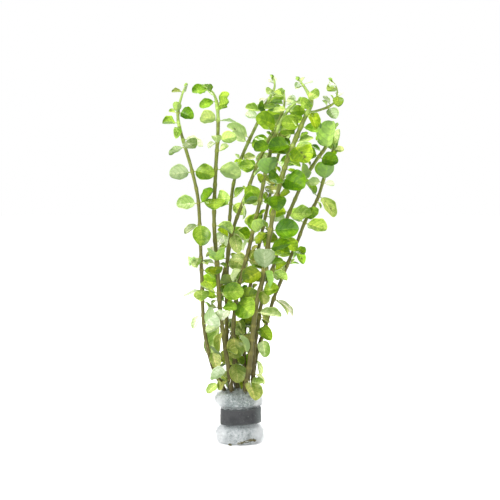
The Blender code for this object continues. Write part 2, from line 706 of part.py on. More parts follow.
def main():
    clear_scene()
    green = material("stem_and_leaf", STEM_GREEN, 0.5)
    wool = material("mineral_wool", PLUG_GREY, 0.95)
    metal = material("dull_metal", STRIP_GREY, 0.6, 0.3)
    lines = {shoot.name: StemLine(shoot) for shoot in SHOOTS}
    planned = []
    for shoot in SHOOTS:
        line = lines[shoot.name]
        for height, leaves in shoot.joints.items():
            length = line.length_at_height(height)
            for leaf in leaves:
                shape = LeafShape(leaf, len(planned), line, length)
                planned.append((shoot.name, length, shape))
    plug_tree = BVHTree.FromBMesh(plug_mesh())
    obstacles = [stem_tree(line, 0.0) for line in lines.values()] + [plug_tree]
    settled = set(settle([shape for _, _, shape in planned], obstacles))
    for shoot in SHOOTS:
        leaves = [
            (length, shape) for name, length, shape in planned
            if name == shoot.name and shape in settled
        ]
        grow_stem(shoot, lines[shoot.name], leaves, green)
    standing = [lines[shoot.name] for shoot in SHOOTS if shoot.path[0][2] < PLUG_TOP]
    wool_plug(standing, wool)
    metal_strip(metal)


main()
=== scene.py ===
"""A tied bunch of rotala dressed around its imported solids: leafy stems, wool plug, metal strip and studio.

model.glb holds the plain solids. Each leafy stem, the wool and the strip are built again here in fine
mesh, in the same places and from the same sizes, and stand for their solids. Lengths in the tables and
in the making are millimetres, the properties and the finished meshes are in metres.
"""

import math
from collections import namedtuple

import bpy
import numpy as np
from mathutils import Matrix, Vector, noise
from mathutils.bvhtree import BVHTree


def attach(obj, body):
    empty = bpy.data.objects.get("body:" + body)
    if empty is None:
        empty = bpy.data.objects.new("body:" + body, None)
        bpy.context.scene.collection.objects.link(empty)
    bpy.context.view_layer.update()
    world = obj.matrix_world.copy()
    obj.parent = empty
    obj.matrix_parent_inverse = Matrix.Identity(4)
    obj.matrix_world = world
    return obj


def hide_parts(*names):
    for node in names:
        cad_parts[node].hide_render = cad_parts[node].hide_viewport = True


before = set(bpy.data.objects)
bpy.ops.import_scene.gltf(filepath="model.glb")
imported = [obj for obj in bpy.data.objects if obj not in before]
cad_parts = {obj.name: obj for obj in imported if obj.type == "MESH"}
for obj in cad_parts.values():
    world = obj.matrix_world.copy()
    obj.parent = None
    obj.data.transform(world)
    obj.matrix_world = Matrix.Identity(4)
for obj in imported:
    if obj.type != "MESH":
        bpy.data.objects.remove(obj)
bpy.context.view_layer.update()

bl_info = {
    "name": "Rotala bunch",
    "version": (1, 0, 0),
    "blender": (4, 5, 0),
    "location": "3D View > Sidebar > Rotala",
    "description": "Builds a tied bunch of rotala with its wool plug, metal strip and a white studio",
    "category": "Add Mesh",
}

MM = 0.001
UP = Vector((0, 0, 1))
FRONT = Vector((0, -1, 0))
GOLDEN = 0.6180339887

# The photograph's view, in metres: the point at its middle, the camera's distance from there, its rise
# above the horizon and the width that the picture shows there.
AIM = Vector((0.0059, 0.0, 0.1080))
CAMERA_DISTANCE = 0.85
CAMERA_RISE_DEG = 2.5
FRAME_WIDTH = 0.28
PHOTO_PIXELS = 500

# The same view in millimetres, as the small leaves' places were read: its middle was then a little lower.
READ_AIM = Vector((5.9, 0.0, 107.6))
READ_DISTANCE = CAMERA_DISTANCE / MM
READ_RISE = math.radians(CAMERA_RISE_DEG)
READ_AHEAD = Vector((0, math.cos(READ_RISE), -math.sin(READ_RISE)))
READ_RIGHT = Vector((1, 0, 0))
READ_UP = READ_RIGHT.cross(READ_AHEAD)
READ_EYE = READ_AIM - READ_AHEAD * READ_DISTANCE
PIXEL = FRAME_WIDTH / MM / PHOTO_PIXELS

# The wool plug: (radius, height, shift to the right) from the foot up, as its solid has it.
PLUG_PROFILE = [
    (11.5, 0.0, 0.0),
    (12.4, 0.9, 0.0),
    (12.8, 2.9, -0.1),
    (12.7, 6.0, -0.1),
    (11.8, 8.2, 0.1),
    (9.7, 9.4, 0.5),
    (9.6, 15.0, 0.6),
    (9.7, 20.6, 0.5),
    (11.9, 21.5, 0.0),
    (13.1, 23.6, -0.6),
    (12.6, 25.9, -0.7),
    (10.8, 27.6, -0.5),
    (7.6, 28.4, -0.4),
]
PLUG_TOP = PLUG_PROFILE[-1][1]
PLUG_SIDES = 20
PLUG_LUMP = 0.25
PLUG_SMOOTH_RADIUS = 9.0
PLUG_LUMP_GIRTH = 4

# The metal strip's winding, as its solid has it.
STRIP_WIDTH = 8.8
STRIP_THICK = 0.55
STRIP_FIRST_RADIUS = 10.15
STRIP_LAP_RISE = 0.85
STRIP_TURNS = 1.35
STRIP_END_DEG = -12.0
STRIP_MIDDLE = 15.3
STRIP_TILT = 0.6
STRIP_SHIFT = 0.6

# The stems' and blades' sizes, as their solids have them.
SOLID_STEM_SIDES = 5
STEM_TAPER = 0.3
STEM_TIP_LENGTH = 14.0
STEM_TIP_RADIUS = 0.34
BARE_TIP = 2.2
CURVE_STEP = 0.5
STALK_BASE = 0.5
STALK_SHARE = 0.07
STALK_HALF_WIDTH = 0.34
BLADE_ROWS = (0.15, 0.50, 0.84)
SMALL_BLADE = 7.7
SMALL_BLADE_ROWS = (0.3, 0.75)
BLADE_WIDTH = 0.95
BLADE_WIDTH_SPREAD = 0.05
BLADE_HALF_THICK = 0.2
BLADE_BEND_DEG = 24.0
BLADE_BEND_SPREAD = 16.0
BLADE_CUP = 0.24
BLADE_CUP_SPREAD = 0.14
SETTLING_RINGS = 90

# Leaves keep CLEARANCE from what is near them, the small extra ones a little less, and turn aside by one
# of the nudges where they can't. Each leaf's index picks its own small differences.
CLEARANCE = 0.32
MORE_CLEARANCE = 0.1
NUDGES_DEG = (6, 12, 18, 25, 33, 42, 52)
NUDGE_DIRECTIONS = 8
BUDS_INDEX = 300
MORE_LEAVES_INDEX = 400

# Ways that single blades differ from the plain cupped disc: roll lifts both sides (radians), fold is
# the rise of each half from the midrib, twist turns the tip (radians), narrow scales the width,
# hook drops the tip, wave scales the ripple of the rim, and spots are small dark wounds, each given by
# its share along the blade, its share across it and its radius in millimetres.
Form = namedtuple(
    "Form", "roll fold twist narrow hook wave spots", defaults=(0.0, 0.0, 0.0, 1.0, 0.0, 1.0, ())
)
FORMS = {
    "plain": Form(),
    "bowl": Form(roll=0.9),
    "oval": Form(narrow=0.84),
    "long": Form(narrow=0.68, fold=0.15, spots=((0.62, 0.15, 0.7),)),
    "strip": Form(narrow=0.5, fold=0.3, twist=-0.2, hook=0.1),
    "folded": Form(fold=0.75, narrow=0.95, hook=0.15),
    "curled": Form(roll=0.55, wave=3.2, hook=0.25),
    "spotted": Form(wave=2.6, twist=0.15, spots=((0.38, 0.1, 0.8), (0.66, 0.05, 0.95))),
    "hanging": Form(fold=0.35, narrow=0.85, twist=-0.3),
}

# A leaf: turn is its bearing round the stem (0 right, 90 back, 180 left, 270 front), lift its rise
# above the horizon, face how far its upper side is tipped to the front, size the blade's length.
Leaf = namedtuple("Leaf", "turn lift face size tone form", defaults=("green", "plain"))
Shoot = namedtuple("Shoot", "name girth path joints")

SHOOTS = [
    Shoot(
        "leafy_stem_1",
        1.2,
        [(-8.5, -3, 0.8), (-7.2, -1.5, 16), (-8.5, -2.5, 29.3), (-14.5, -5, 41.6), (-19.4, -8, 63.8),
         (-20.9, -11, 96.6), (-21.8, -12, 121.3), (-22.8, -12, 137.1), (-25.9, -13, 151.9),
         (-29.8, -14, 165.6), (-33.3, -14, 178.4), (-33.5, -14, 185.3), (-31.6, -13, 193.2),
         (-29.6, -13, 198.7)],
        {
            34: [Leaf(193, -40, 36, 7.5, "fresh")],
            51.7: [Leaf(335, -72, 20, 9, "straw")],
            67.5: [Leaf(301, 62, -70, 12, "mint")],
            72: [Leaf(178, -62, 40, 8, "mint")],
            86.7: [Leaf(180, -24, 0, 9, "mint"), Leaf(268, -36, 0, 9, "fresh")],
            97.5: [Leaf(20, -35, 50, 9, "bright")],
            101.6: [Leaf(310, -12, 10, 4, "straw")],
            103.5: [Leaf(180, -33, 28, 6, "pale", "curled")],
            123: [Leaf(285, -72, 0, 11.5), Leaf(185, -38, 35, 8, "misty", "oval")],
            134.8: [Leaf(180, -5, 60, 10, "pale"), Leaf(345, 47, 40, 9.5, "deep")],
            151.9: [Leaf(180, -8, -60, 10.5, "misty"), Leaf(350, -14, 62, 10.5)],
            165.6: [Leaf(180, -30, 35, 8, "misty", "oval")],
            169.5: [Leaf(349, -22, -40, 10, "mint")],
            176.7: [Leaf(250, -62, 24, 7, "fresh", "folded")],
            178.7: [Leaf(190, -4, 40, 7, "bright", "bowl")],
            184.3: [
                Leaf(258, 65, 0, 5.5),
                Leaf(338, -20, 60, 8, "deep", "curled"),
                Leaf(188, 5, 40, 3.5, "fresh"),
            ],
            195.5: [Leaf(180, -5, 20, 5, "olive"), Leaf(350, 84, 0, 4, "mint")],
        },
    ),
    Shoot(
        "leafy_stem_2",
        1.35,
        [(-4.8, -10, 1.4), (-4.1, -6.2, 9), (-3.8, -5.4, 16), (-4.4, -6, 29.8),
         (-7.7, -9, 53), (-10.7, -10.5, 74.9),
         (-12, -11, 96.6), (-13.9, -11, 123.3), (-13.1, -9, 151.9), (-11.8, -7, 174.8),
         (-12.3, -6, 188.7), (-14.5, -6, 195.1), (-19.3, -6, 198.8)],
        {
            41.5: [Leaf(217, -16, -72, 10.5, "mint", "oval")],
            70: [Leaf(280, 32, 0, 10.5, "mint", "oval")],
            76.9: [Leaf(330, -15, 40, 8), Leaf(190, 0, 30, 4.5, "pale")],
            84.8: [Leaf(172, -3, 30, 9.5, "bright"), Leaf(355, 2, 70, 11.5)],
            99.6: [Leaf(262, -28, 0, 9, "moss")],
            103: [Leaf(270, 22, 0, 11.5, "green", "bowl"), Leaf(90, 38, 0, 10, "mint")],
            122.3: [Leaf(355, -28, 30, 9, "fresh", "folded")],
            137.1: [Leaf(270, -30, 0, 11.5), Leaf(300, 0, 80, 9.5, "fresh")],
            153.6: [Leaf(0, -18, -50, 12, "fresh"), Leaf(192, -12, 45, 6)],
            167.8: [Leaf(185, -38, 60, 4.5, "mint", "folded"), Leaf(266, 30, 0, 6.5, "pale")],
            169.8: [Leaf(355, 8, -62, 8.5, "fresh")],
            180.2: [Leaf(222, 8, -60, 10.5, "fresh", "oval"), Leaf(0, -8, 0, 8, "mint")],
            188: [Leaf(305, 8, 72, 9.5)],
            191.2: [Leaf(182, -22, 45, 8)],
            196.2: [Leaf(237, 72, 88, 4, "bright")],
            198: [Leaf(180, -5, 65, 7.5, "bright", "bowl"), Leaf(215, -30, 5, 5, "bright")],
        },
    ),
    Shoot(
        "leafy_stem_3",
        1.2,
        [(-5.5, 3, 0.8), (-4.6, 2.2, 16), (-5.5, 2.5, 28.7), (-6.9, 4, 48.5), (-7.3, 6, 68.5),
         (-7, 8, 95.5), (-5.7, 10, 123.8), (-3.6, 11, 144), (0.5, 12, 158.2), (5.3, 13, 169.4),
         (10.7, 14, 180.6), (15.9, 15, 191.8), (19.6, 15, 198.9), (19.8, 15, 203), (18.8, 15, 205.5)],
        {
            44: [Leaf(120, -30, 20, 9, "moss")],
            64: [Leaf(345, -25, 45, 9, "straw")],
            81: [Leaf(100, 10, 0, 10, "olive")],
            93: [Leaf(0, -20, 60, 8.5, "straw")],
            103: [Leaf(325, -22, 55, 12, "straw"), Leaf(160, 10, 40, 9, "bright")],
            118: [Leaf(200, -55, 30, 9.5, "mint"), Leaf(30, -10, 40, 9)],
            133.5: [Leaf(345, -42, 60, 8, "fresh"), Leaf(150, -10, 30, 5, "pale")],
            159.3: [Leaf(286, -36, 0, 12.5, "lime"), Leaf(20, 15, 30, 7, "pale")],
            169: [Leaf(352, -12, 70, 10.5, "lime")],
            171: [Leaf(168, 26, -40, 13, "pale", "long")],
            183: [Leaf(180, 15, -50, 7, "mint")],
            186: [
                Leaf(195, 8, 35, 8.5, "fresh"),
                Leaf(345, -12, 45, 9.5, "lime"),
                Leaf(120, 20, 0, 9.5, "mint"),
            ],
            190: [Leaf(345, -15, 10, 8)],
            193: [Leaf(325, 0, 35, 8.5, "bright"), Leaf(190, -45, 30, 5, "mint")],
            198: [Leaf(240, -20, 45, 6.5, "fresh"), Leaf(305, -25, 45, 7.5, "fresh")],
            202.5: [Leaf(100, 60, 0, 3.5, "mint"), Leaf(200, 10, 30, 3.5, "mint")],
        },
    ),
    Shoot(
        "leafy_stem_4",
        1.25,
        [(-1.5, 7, 0.8), (-1.2, 6, 16), (-1.6, 7, 28), (-4.6, 8, 40), (-9.4, 7, 60.3),
         (-10.9, 5, 74.6), (-10.1, 3, 88.8), (-6.8, 0.5, 102), (-5, -1, 114), (-2, -2, 124.5),
         (2.4, -3, 135.6), (6.6, -4, 147), (10.9, -5, 157.9), (15.9, -6, 168.8), (21.9, -7, 179.7),
         (24.8, -7, 188.6), (24.8, -7, 195.6)],
        {
            66: [Leaf(150, -75, 88, 19.5, "straw", "strip"), Leaf(20, -30, 40, 9, "olive")],
            89: [Leaf(175, 8, 80, 10, "lime"), Leaf(300, -30, 30, 9, "moss")],
            117.5: [Leaf(350, -15, 45, 12, "pale"), Leaf(325, -75, 60, 10, "straw", "hanging")],
            134.2: [Leaf(224, -75, -76, 8.5, "pale", "strip")],
            136: [Leaf(20, -5, 45, 9, "straw")],
            145: [Leaf(295, -72, 0, 10)],
            155: [Leaf(350, -20, 50, 9), Leaf(190, -5, 40, 8, "bright")],
            164.6: [Leaf(90, 30, 0, 11)],
            178: [Leaf(300, -10, 20, 10, "lime"), Leaf(120, 20, 0, 10)],
            187: [Leaf(10, -10, -40, 8, "pale"), Leaf(190, -5, 15, 9)],
            191: [Leaf(330, -20, -50, 6, "pale")],
            194: [Leaf(200, 20, 30, 5, "fresh")],
        },
    ),
    Shoot(
        "leafy_stem_5",
        1.35,
        [(1.4, -10.4, 1.4), (0.2, -5.6, 9), (-0.5, -3.5, 16), (-1, -2, 29.3),
         (-2.6, -3, 46.3), (-3.5, -4.5, 61.4),
         (-2.5, -6, 75.5), (0.3, -7.5, 91), (5, -9, 108), (8.8, -10, 124.7), (11.6, -11, 136.1),
         (13.8, -12, 148), (17.4, -13, 163.3), (20.8, -14, 174.5), (24.7, -15, 182.3),
         (29.5, -16, 188.2), (33, -16, 191.1)],
        {
            45.5: [Leaf(272, -76, 0, 10.5, "olive")],
            60: [Leaf(272, -72, 0, 11.5, "olive")],
            80: [Leaf(345, 18, 70, 12, "moss"), Leaf(310, -28, 60, 13.5)],
            91: [Leaf(170, -10, -50, 9, "moss")],
            103: [Leaf(185, 5, 50, 6, "straw"), Leaf(350, -15, 40, 8, "olive")],
            118.5: [Leaf(60, 60, 0, 11.5), Leaf(323, 55, -20, 8.5)],
            136: [Leaf(180, -10, 50, 8, "fresh"), Leaf(0, -20, 40, 8, "deep")],
            150.5: [Leaf(285, 45, 0, 12, "deep")],
            153.5: [Leaf(85, 35, 0, 10)],
            164.6: [Leaf(350, -20, 40, 11)],
            166.5: [Leaf(200, -20, 50, 9, "deep")],
            174.5: [Leaf(340, 10, 60, 9)],
            176.5: [Leaf(201, 20, 64, 12, "lime")],
            185: [Leaf(180, -10, 30, 7, "fresh"), Leaf(350, -35, 50, 7)],
            191: [Leaf(300, -20, 20, 4, "pale"), Leaf(170, 50, 20, 4, "mint")],
        },
    ),
    Shoot(
        "leafy_stem_6",
        1.6,
        [(4.9, -9.8, 1.6), (3.9, -6, 9), (3.5, -5.2, 16), (3.5, -6.5, 29.9),
         (5.5, -9, 43.1), (7.6, -12, 64.2),
         (9.4, -14, 78.1), (13.4, -16, 95), (15.8, -17, 111.7), (18.9, -18, 130.3), (22.1, -18, 144),
         (26.2, -18, 157.7), (31.6, -18, 171.4), (36.4, -17.5, 182.2), (39.3, -17, 188.1),
         (38.9, -17, 192), (35.6, -17, 197.9), (32.2, -17, 202.2)],
        {
            36: [Leaf(300, -52, 0, 11.5, "olive")],
            51.5: [Leaf(216, 64, -16, 11, "olive", "strip")],
            74.8: [Leaf(352, -10, 14, 12, "pale")],
            87: [Leaf(340, 10, 68, 8.5), Leaf(300, -70, 0, 7.5, "olive")],
            97: [Leaf(192, -30, 60, 10.5, "moss")],
            99: [Leaf(268, 52, 0, 13, "misty")],
            110: [Leaf(350, 12, 40, 11, "deep"), Leaf(320, -50, 40, 10.5, "lime")],
            118: [Leaf(166, -46, 44, 8, "moss")],
            120: [Leaf(352, 4, 64, 13, "deep")],
            138.5: [Leaf(268, -48, 0, 10.5, "deep"), Leaf(75, 10, 0, 9, "mint")],
            148.5: [Leaf(318, -18, 50, 14.5, "deep"), Leaf(238, -8, 50, 10.5, "deep")],
            154: [Leaf(90, 25, 0, 8, "bright")],
            166: [Leaf(305, -35, 30, 14.5, "lime", "spotted"), Leaf(182, -8, 50, 11, "deep")],
            177: [Leaf(190, 5, 70, 9), Leaf(350, -20, 40, 7.5, "bright")],
            184.5: [Leaf(200, -8, 65, 7), Leaf(318, -64, 40, 9.5, "lime", "folded")],
            191: [Leaf(236, -28, 55, 8.5, "bright")],
            194.5: [Leaf(305, -20, 50, 8, "fresh")],
            199: [Leaf(350, 10, 30, 4.5, "mint"), Leaf(200, -25, 40, 3.5, "pale")],
            202: [Leaf(215, -40, 50, 3.5, "mint"), Leaf(45, 40, 0, 3, "pale")],
        },
    ),
    Shoot(
        "side_stem",
        0.7,
        [(39, -16.8, 184.1), (42.1, -16.6, 184.8), (45.4, -16, 185.8), (48.8, -15.5, 187.1),
         (52, -15, 189.4), (53.5, -15, 192.6), (53.7, -15, 195.9), (52.6, -15, 199),
         (50.4, -15, 201.8)],
        {
            186.9: [Leaf(330, -50, 50, 7, "misty")],
            188.2: [Leaf(176, 45, 30, 5.5, "mint")],
            193: [Leaf(275, -60, 0, 6.5), Leaf(60, 20, 0, 5, "mint")],
            197.5: [Leaf(225, -15, 50, 6.5, "fresh")],
            201.4: [Leaf(215, -25, 40, 4.5, "mint")],
        },
    ),
    Shoot(
        "leafy_stem_7",
        1.3,
        [(8.2, -7.5, 0.6), (6.6, -2.6, 16), (7.5, -2, 29.3), (8, 0, 49), (10, 2, 62.8),
         (12.6, 4, 78.7), (18.3, 5, 96.1), (21.7, 5, 107.4), (26.3, 5, 124.3), (30.9, 4, 135.6),
         (36.2, 3, 147), (42.9, 2, 158), (47.9, 1, 165), (50.5, 0, 171), (53.9, -1, 177.5)],
        {
            65: [Leaf(320, -42, 55, 10, "green", "folded"), Leaf(170, 10, 30, 9, "moss")],
            79: [Leaf(80, 0, 0, 10)],
            96: [Leaf(350, -35, 50, 8, "fresh", "hanging"), Leaf(170, 10, 30, 8, "moss")],
            114: [Leaf(185, -5, 50, 9, "moss"), Leaf(340, -40, 50, 9, "lime")],
            129: [Leaf(182, -10, 50, 9.5, "lime"), Leaf(345, 0, 55, 10.5, "fresh")],
            147: [Leaf(262, 72, 50, 9.5)],
            160.5: [Leaf(190, 0, 60, 9, "lime"), Leaf(340, -14, 70, 9.5, "deep")],
            165.5: [Leaf(300, 72, 0, 15, "bright", "bowl"), Leaf(90, 40, 0, 11)],
            174.2: [Leaf(100, 40, 0, 5, "pale")],
        },
    ),
    Shoot(
        "leafy_stem_8",
        1.25,
        [(7, 4.8, 0.8), (6, 3.8, 16), (7, 4.5, 28.4), (9.5, 7, 48.2), (14.1, 9, 62.1),
         (19, 11, 78.8), (23.6, 12, 90.2), (28, 12, 101.4), (32.9, 12, 112.6), (37.4, 12, 124.1),
         (43.7, 11, 135.5), (47.4, 10, 147), (50.3, 9, 158.1), (53.4, 8, 166.2)],
        {
            46: [Leaf(320, -80, 15, 9, "pale", "strip"), Leaf(200, -75, 15, 9, "moss")],
            57: [Leaf(300, -72, 35, 9.5, "pale", "hanging")],
            80: [Leaf(346, -44, 12, 13, "mint", "strip")],
            93: [Leaf(185, -15, 40, 8, "mint")],
            98.5: [Leaf(192, -64, 36, 9, "pale")],
            109: [
                Leaf(330, -65, 45, 9, "bright", "long"),
                Leaf(190, -10, 40, 9),
                Leaf(310, -25, 30, 7, "lime"),
            ],
            123: [Leaf(332, -16, 40, 12, "fresh", "oval"), Leaf(185, 35, -50, 9, "bright")],
            132.3: [Leaf(255, -50, 0, 9)],
            138.3: [Leaf(345, -57, 40, 13, "fresh", "long"), Leaf(183, 62, 20, 11)],
            146: [Leaf(185, -5, -50, 7, "pale"), Leaf(0, -15, -40, 5, "mint")],
            148: [Leaf(285, 56, 0, 11, "deep"), Leaf(90, 55, 0, 11, "bright")],
            159.5: [Leaf(0, 54, 36, 5.5, "bright")],
            165: [Leaf(0, 5, 60, 5, "pale"), Leaf(180, 30, 0, 4)],
        },
    ),
    Shoot(
        "leafy_stem_9",
        1.2,
        [(3.2, 2.4, 0.8), (2.4, 1.6, 16), (3, 2.5, 28.7), (2.6, 5, 48.4), (3.4, 7, 67.4),
         (5.5, 9, 84.4), (9.2, 11, 101.4), (12.9, 13, 118.6), (16.7, 15, 135.8), (19, 16, 147),
         (21.3, 17, 158.3), (24.8, 18, 169.5), (29, 18, 179.7), (32, 18, 186.9)],
        {
            60: [Leaf(270, -20, 0, 9, "olive")],
            69: [Leaf(80, 10, 0, 9)],
            91: [Leaf(0, 0, 50, 9, "moss"), Leaf(180, 0, 50, 10)],
            122: [Leaf(180, 10, 50, 9, "straw")],
            127: [Leaf(0, -10, 50, 9, "mint")],
            144: [Leaf(270, -30, 0, 9, "olive"), Leaf(90, 20, 0, 10, "moss")],
            158: [Leaf(0, 0, 50, 10), Leaf(180, 5, 50, 10, "mint")],
            169: [Leaf(270, 20, 0, 10, "fresh"), Leaf(90, 20, 0, 10)],
            180: [Leaf(180, 10, 40, 7), Leaf(0, 10, 40, 7, "bright")],
        },
    ),
]

# Small leaves that fill the bunch's gaps, past the number that the solids hold. Their places were read
# from the photograph, in its pixels: the row where the leaf's joint is on its stem, and the
# column and row of its tip. depth is a guess of how far it points away from the viewer in degrees, below
# 0 towards the viewer, and facing of how squarely its upper side faces the viewer, from -1 to 1.
Place = namedtuple(
    "Place", "joint_row tip_column tip_row depth facing tone form", defaults=("green", "plain")
)
SMALLEST_LEAF = 2.5
LEAF_REACH = 1.05
FACES_DEG = range(-88, 90, 4)
FACING_STEP = 0.01

MORE_LEAVES = {
    "leafy_stem_1": [
        Place(378, 224, 390, -20, 0.5, "olive", "strip"), Place(378, 218, 391, -20, 0.6, "straw"),
        Place(372, 226, 387, 10, 0.5, "straw", "strip"),
        Place(345, 217, 367, 10, -0.4, "misty", "strip"),
        Place(300, 208, 312, -10, 0.6, "pale", "strip"), Place(258, 194, 266, -20, 0.5, "pale"),
        Place(256, 194, 268, -25, 0.7, "straw"), Place(141, 201, 149, -25, 0.7, "misty"),
    ],
    "leafy_stem_2": [
        Place(378, 222, 390, -20, 0.5, "olive", "strip"), Place(347, 236, 358, -15, 0.5, "olive"),
        Place(330, 220, 352, -15, 0.8, "olive", "strip"), Place(325, 207, 333, -15, -0.6, "pale"),
        Place(318, 213, 327, 10, 0.5, "olive"), Place(299, 213, 306, 0, 0.3, "straw", "folded"),
        Place(294, 206, 294, -30, 0.7, "bright"), Place(263, 226, 268, -10, 0.5, "moss", "folded"),
        Place(262, 203, 260, -15, -0.4, "mint"), Place(254, 206, 256, -10, 0.4, "olive", "folded"),
        Place(168, 207, 169, 10, 0.5, "lime"), Place(150, 228, 144, -15, 0.6, "pale"),
        Place(108, 227, 107, -30, 0.5, "lime"), Place(102, 229, 92, -20, 0.7, "bright"),
        Place(92, 204, 80, -20, 0.6, "bright"), Place(90, 205, 81, 0, 0.5, "bright"),
    ],
    "leafy_stem_3": [
        Place(380, 222, 369, -35, 0.7, "straw"), Place(352, 221, 364, 10, 0.7, "moss"),
        Place(345, 240, 335, 20, 0.8, "moss"), Place(331, 234, 342, 10, 0.5, "olive"),
        Place(330, 238, 322, 25, 0.8, "moss"), Place(320, 232, 330, 20, 0.7, "moss"),
        Place(317, 232, 329, -10, 0.4, "straw", "folded"), Place(300, 216, 296, 10, 0.5, "lime"),
        Place(252, 236, 262, 15, 0.5, "moss"), Place(233, 218, 246, -20, -0.6, "mint", "bowl"),
        Place(229, 234, 245, -15, -0.3, "pale", "folded"), Place(196, 243, 186, -10, 0.6, "fresh"),
        Place(158, 236, 153, -20, -0.5, "pale"), Place(141, 231, 133, 15, -0.7, "pale", "oval"),
        Place(105, 253, 103, -35, 0.8, "deep"), Place(105, 280, 99, 10, -0.6, "pale", "bowl"),
        Place(102, 283, 101, -10, -0.5, "green", "folded"),
    ],
    "leafy_stem_4": [
        Place(380, 237, 389, 10, 0.4, "moss", "strip"), Place(377, 242, 390, 0, 0.5, "olive", "strip"),
        Place(376, 239, 391, -30, 0.5, "moss", "strip"), Place(372, 246, 382, 10, 0.6, "moss"),
        Place(344, 240, 357, 10, 0.6, "moss"), Place(268, 216, 278, 10, 0.6, "lime"),
        Place(246, 219, 252, 15, 0.5, "moss"), Place(236, 218, 228, -25, 0.6, "lime"),
        Place(229, 247, 243, -25, 0.7, "lime", "folded"), Place(190, 243, 184, -20, 0.6, "fresh"),
        Place(150, 267, 139, -20, 0.6, "fresh"), Place(128, 288, 115, -25, -0.8),
        Place(112, 270, 107, -10, -0.4, "deep", "folded"),
    ],
    "leafy_stem_5": [
        Place(380, 241, 390, -30, 0.6, "moss", "strip"), Place(365, 222, 352, 30, 0.8, "olive"),
        Place(353, 240, 366, -15, 0.6, "moss"), Place(352, 246, 340, 20, 0.8, "moss"),
        Place(325, 242, 335, -15, 0.5, "olive"), Place(319, 240, 330, -10, 0.5, "olive", "folded"),
        Place(305, 230, 318, -10, 0.5, "straw", "strip"),
        Place(300, 228, 305, -10, 0.5, "lime", "folded"), Place(289, 247, 283, -5, 0.5, "deep"),
        Place(268, 234, 283, -10, -0.5, "pale", "hanging"), Place(258, 254, 269, 0, 0.5, "deep"),
        Place(258, 254, 246, -10, 0.6, "olive"), Place(250, 257, 243, -10, 0.5, "olive"),
        Place(238, 244, 252, -15, -0.5, "pale", "strip"), Place(214, 264, 207, 0, 0.5, "lime"),
        Place(198, 244, 202, -10, 0.4, "deep", "folded"), Place(182, 259, 172, -30, 0.5, "lime"),
        Place(168, 256, 179, -10, 0.4, "fresh", "strip"), Place(150, 262, 146, 10, 0.5),
        Place(137, 289, 131, -10, 0.6, "olive"), Place(136, 267, 131, -20, 0.4, "fresh"),
        Place(131, 267, 124, -20, 0.7), Place(104, 286, 105, 0, 0.4, "mint", "folded"),
        Place(100, 289, 96, 0, 0.3, "mint", "folded"),
    ],
    "leafy_stem_6": [
        Place(384, 263, 379, -10, 0.5, "straw"), Place(269, 268, 291, -10, -0.5, "deep"),
        Place(262, 283, 259, -10, 0.5), Place(228, 265, 219, 10, 0.6),
        Place(197, 289, 189, -20, 0.6, "moss"), Place(196, 286, 190, 10, 0.5, "olive", "strip"),
        Place(183, 266, 176, 15, 0.8, "olive"), Place(176, 291, 176, -30, 0.7, "deep"),
        Place(172, 277, 165, 10, 0.6, "lime"), Place(168, 294, 174, -20, 0.6, "lime"),
        Place(160, 300, 166, 5, 0.5), Place(154, 272, 153, 12, 0.5, "lime", "oval"),
        Place(145, 272, 143, 14, 0.7, "deep"), Place(144, 311, 142, -30, -0.4, "fresh", "long"),
        Place(139, 313, 136, -5, 0.5, "fresh"), Place(136, 308, 130, -10, 0.5, "bright"),
        Place(134, 284, 127, 15, 0.6, "deep"), Place(127, 290, 119, -20, 0.7, "bright"),
        Place(113, 321, 128, -5, -0.3, "deep", "strip"),
    ],
    "leafy_stem_7": [
        Place(373, 262, 386, -10, 0.5, "pale"), Place(318, 249, 328, 10, 0.5, "moss"),
        Place(318, 264, 325, -10, 0.5, "olive"), Place(316, 265, 327, 0, 0.5, "olive", "oval"),
        Place(310, 264, 321, -20, 0.6, "olive"), Place(292, 263, 303, -10, -0.5, "pale"),
        Place(268, 286, 260, -5, 0.6, "lime"), Place(247, 287, 256, 10, 0.6, "lime", "long"),
        Place(166, 310, 161, -10, 0.5, "olive"), Place(151, 311, 145, -10, 0.6, "deep"),
    ],
    "leafy_stem_8": [
        Place(352, 262, 340, 20, 0.6, "olive"), Place(299, 289, 314, -10, 0.5, "pale", "strip"),
        Place(262, 299, 262, -10, 0.5, "bright", "strip"), Place(262, 294, 256, -10, 0.5, "pale"),
        Place(248, 296, 260, -20, 0.6, "pale", "strip"),
        Place(200, 320, 209, -20, 0.6, "fresh", "strip"), Place(148, 336, 136, 20, 0.6, "bright"),
        Place(146, 339, 124, 10, 0.5, "pale", "oval"),
    ],
    "leafy_stem_9": [
        Place(380, 256, 368, 15, 0.7, "moss"), Place(366, 249, 351, 10, 0.8, "deep"),
        Place(360, 232, 368, 20, 0.7, "moss"), Place(350, 240, 368, -10, 0.4, "olive", "strip"),
        Place(342, 250, 327, 20, 0.8, "moss"), Place(336, 257, 346, 10, 0.5, "moss"),
        Place(322, 248, 334, -10, 0.5, "olive", "strip"), Place(316, 252, 329, 0, 0.5, "moss"),
        Place(288, 257, 282, 5, 0.6, "olive"), Place(262, 264, 272, 5, 0.6),
        Place(240, 268, 246, 10, 0.5, "moss"), Place(236, 263, 248, -10, 0.5, "lime", "strip"),
        Place(226, 272, 236, 10, 0.5, "moss"), Place(200, 258, 192, 10, 0.5),
        Place(198, 265, 190, -20, 0.4, "olive"), Place(186, 284, 178, 10, 0.5),
    ],
    "side_stem": [
        Place(106, 322, 100, 0, 0.5, "pale"), Place(100, 331, 93, 0, 0.5, "fresh", "strip"),
    ],
}


# The bunch's layout: the same stem lines and leaf places as in the solids.


def vary(index, salt):
    """A fixed, even spread of values from -1 to 1, one for each leaf and each salt."""
    return 2 * math.modf((index + 1) * GOLDEN * (1 + 0.37 * salt))[0] - 1


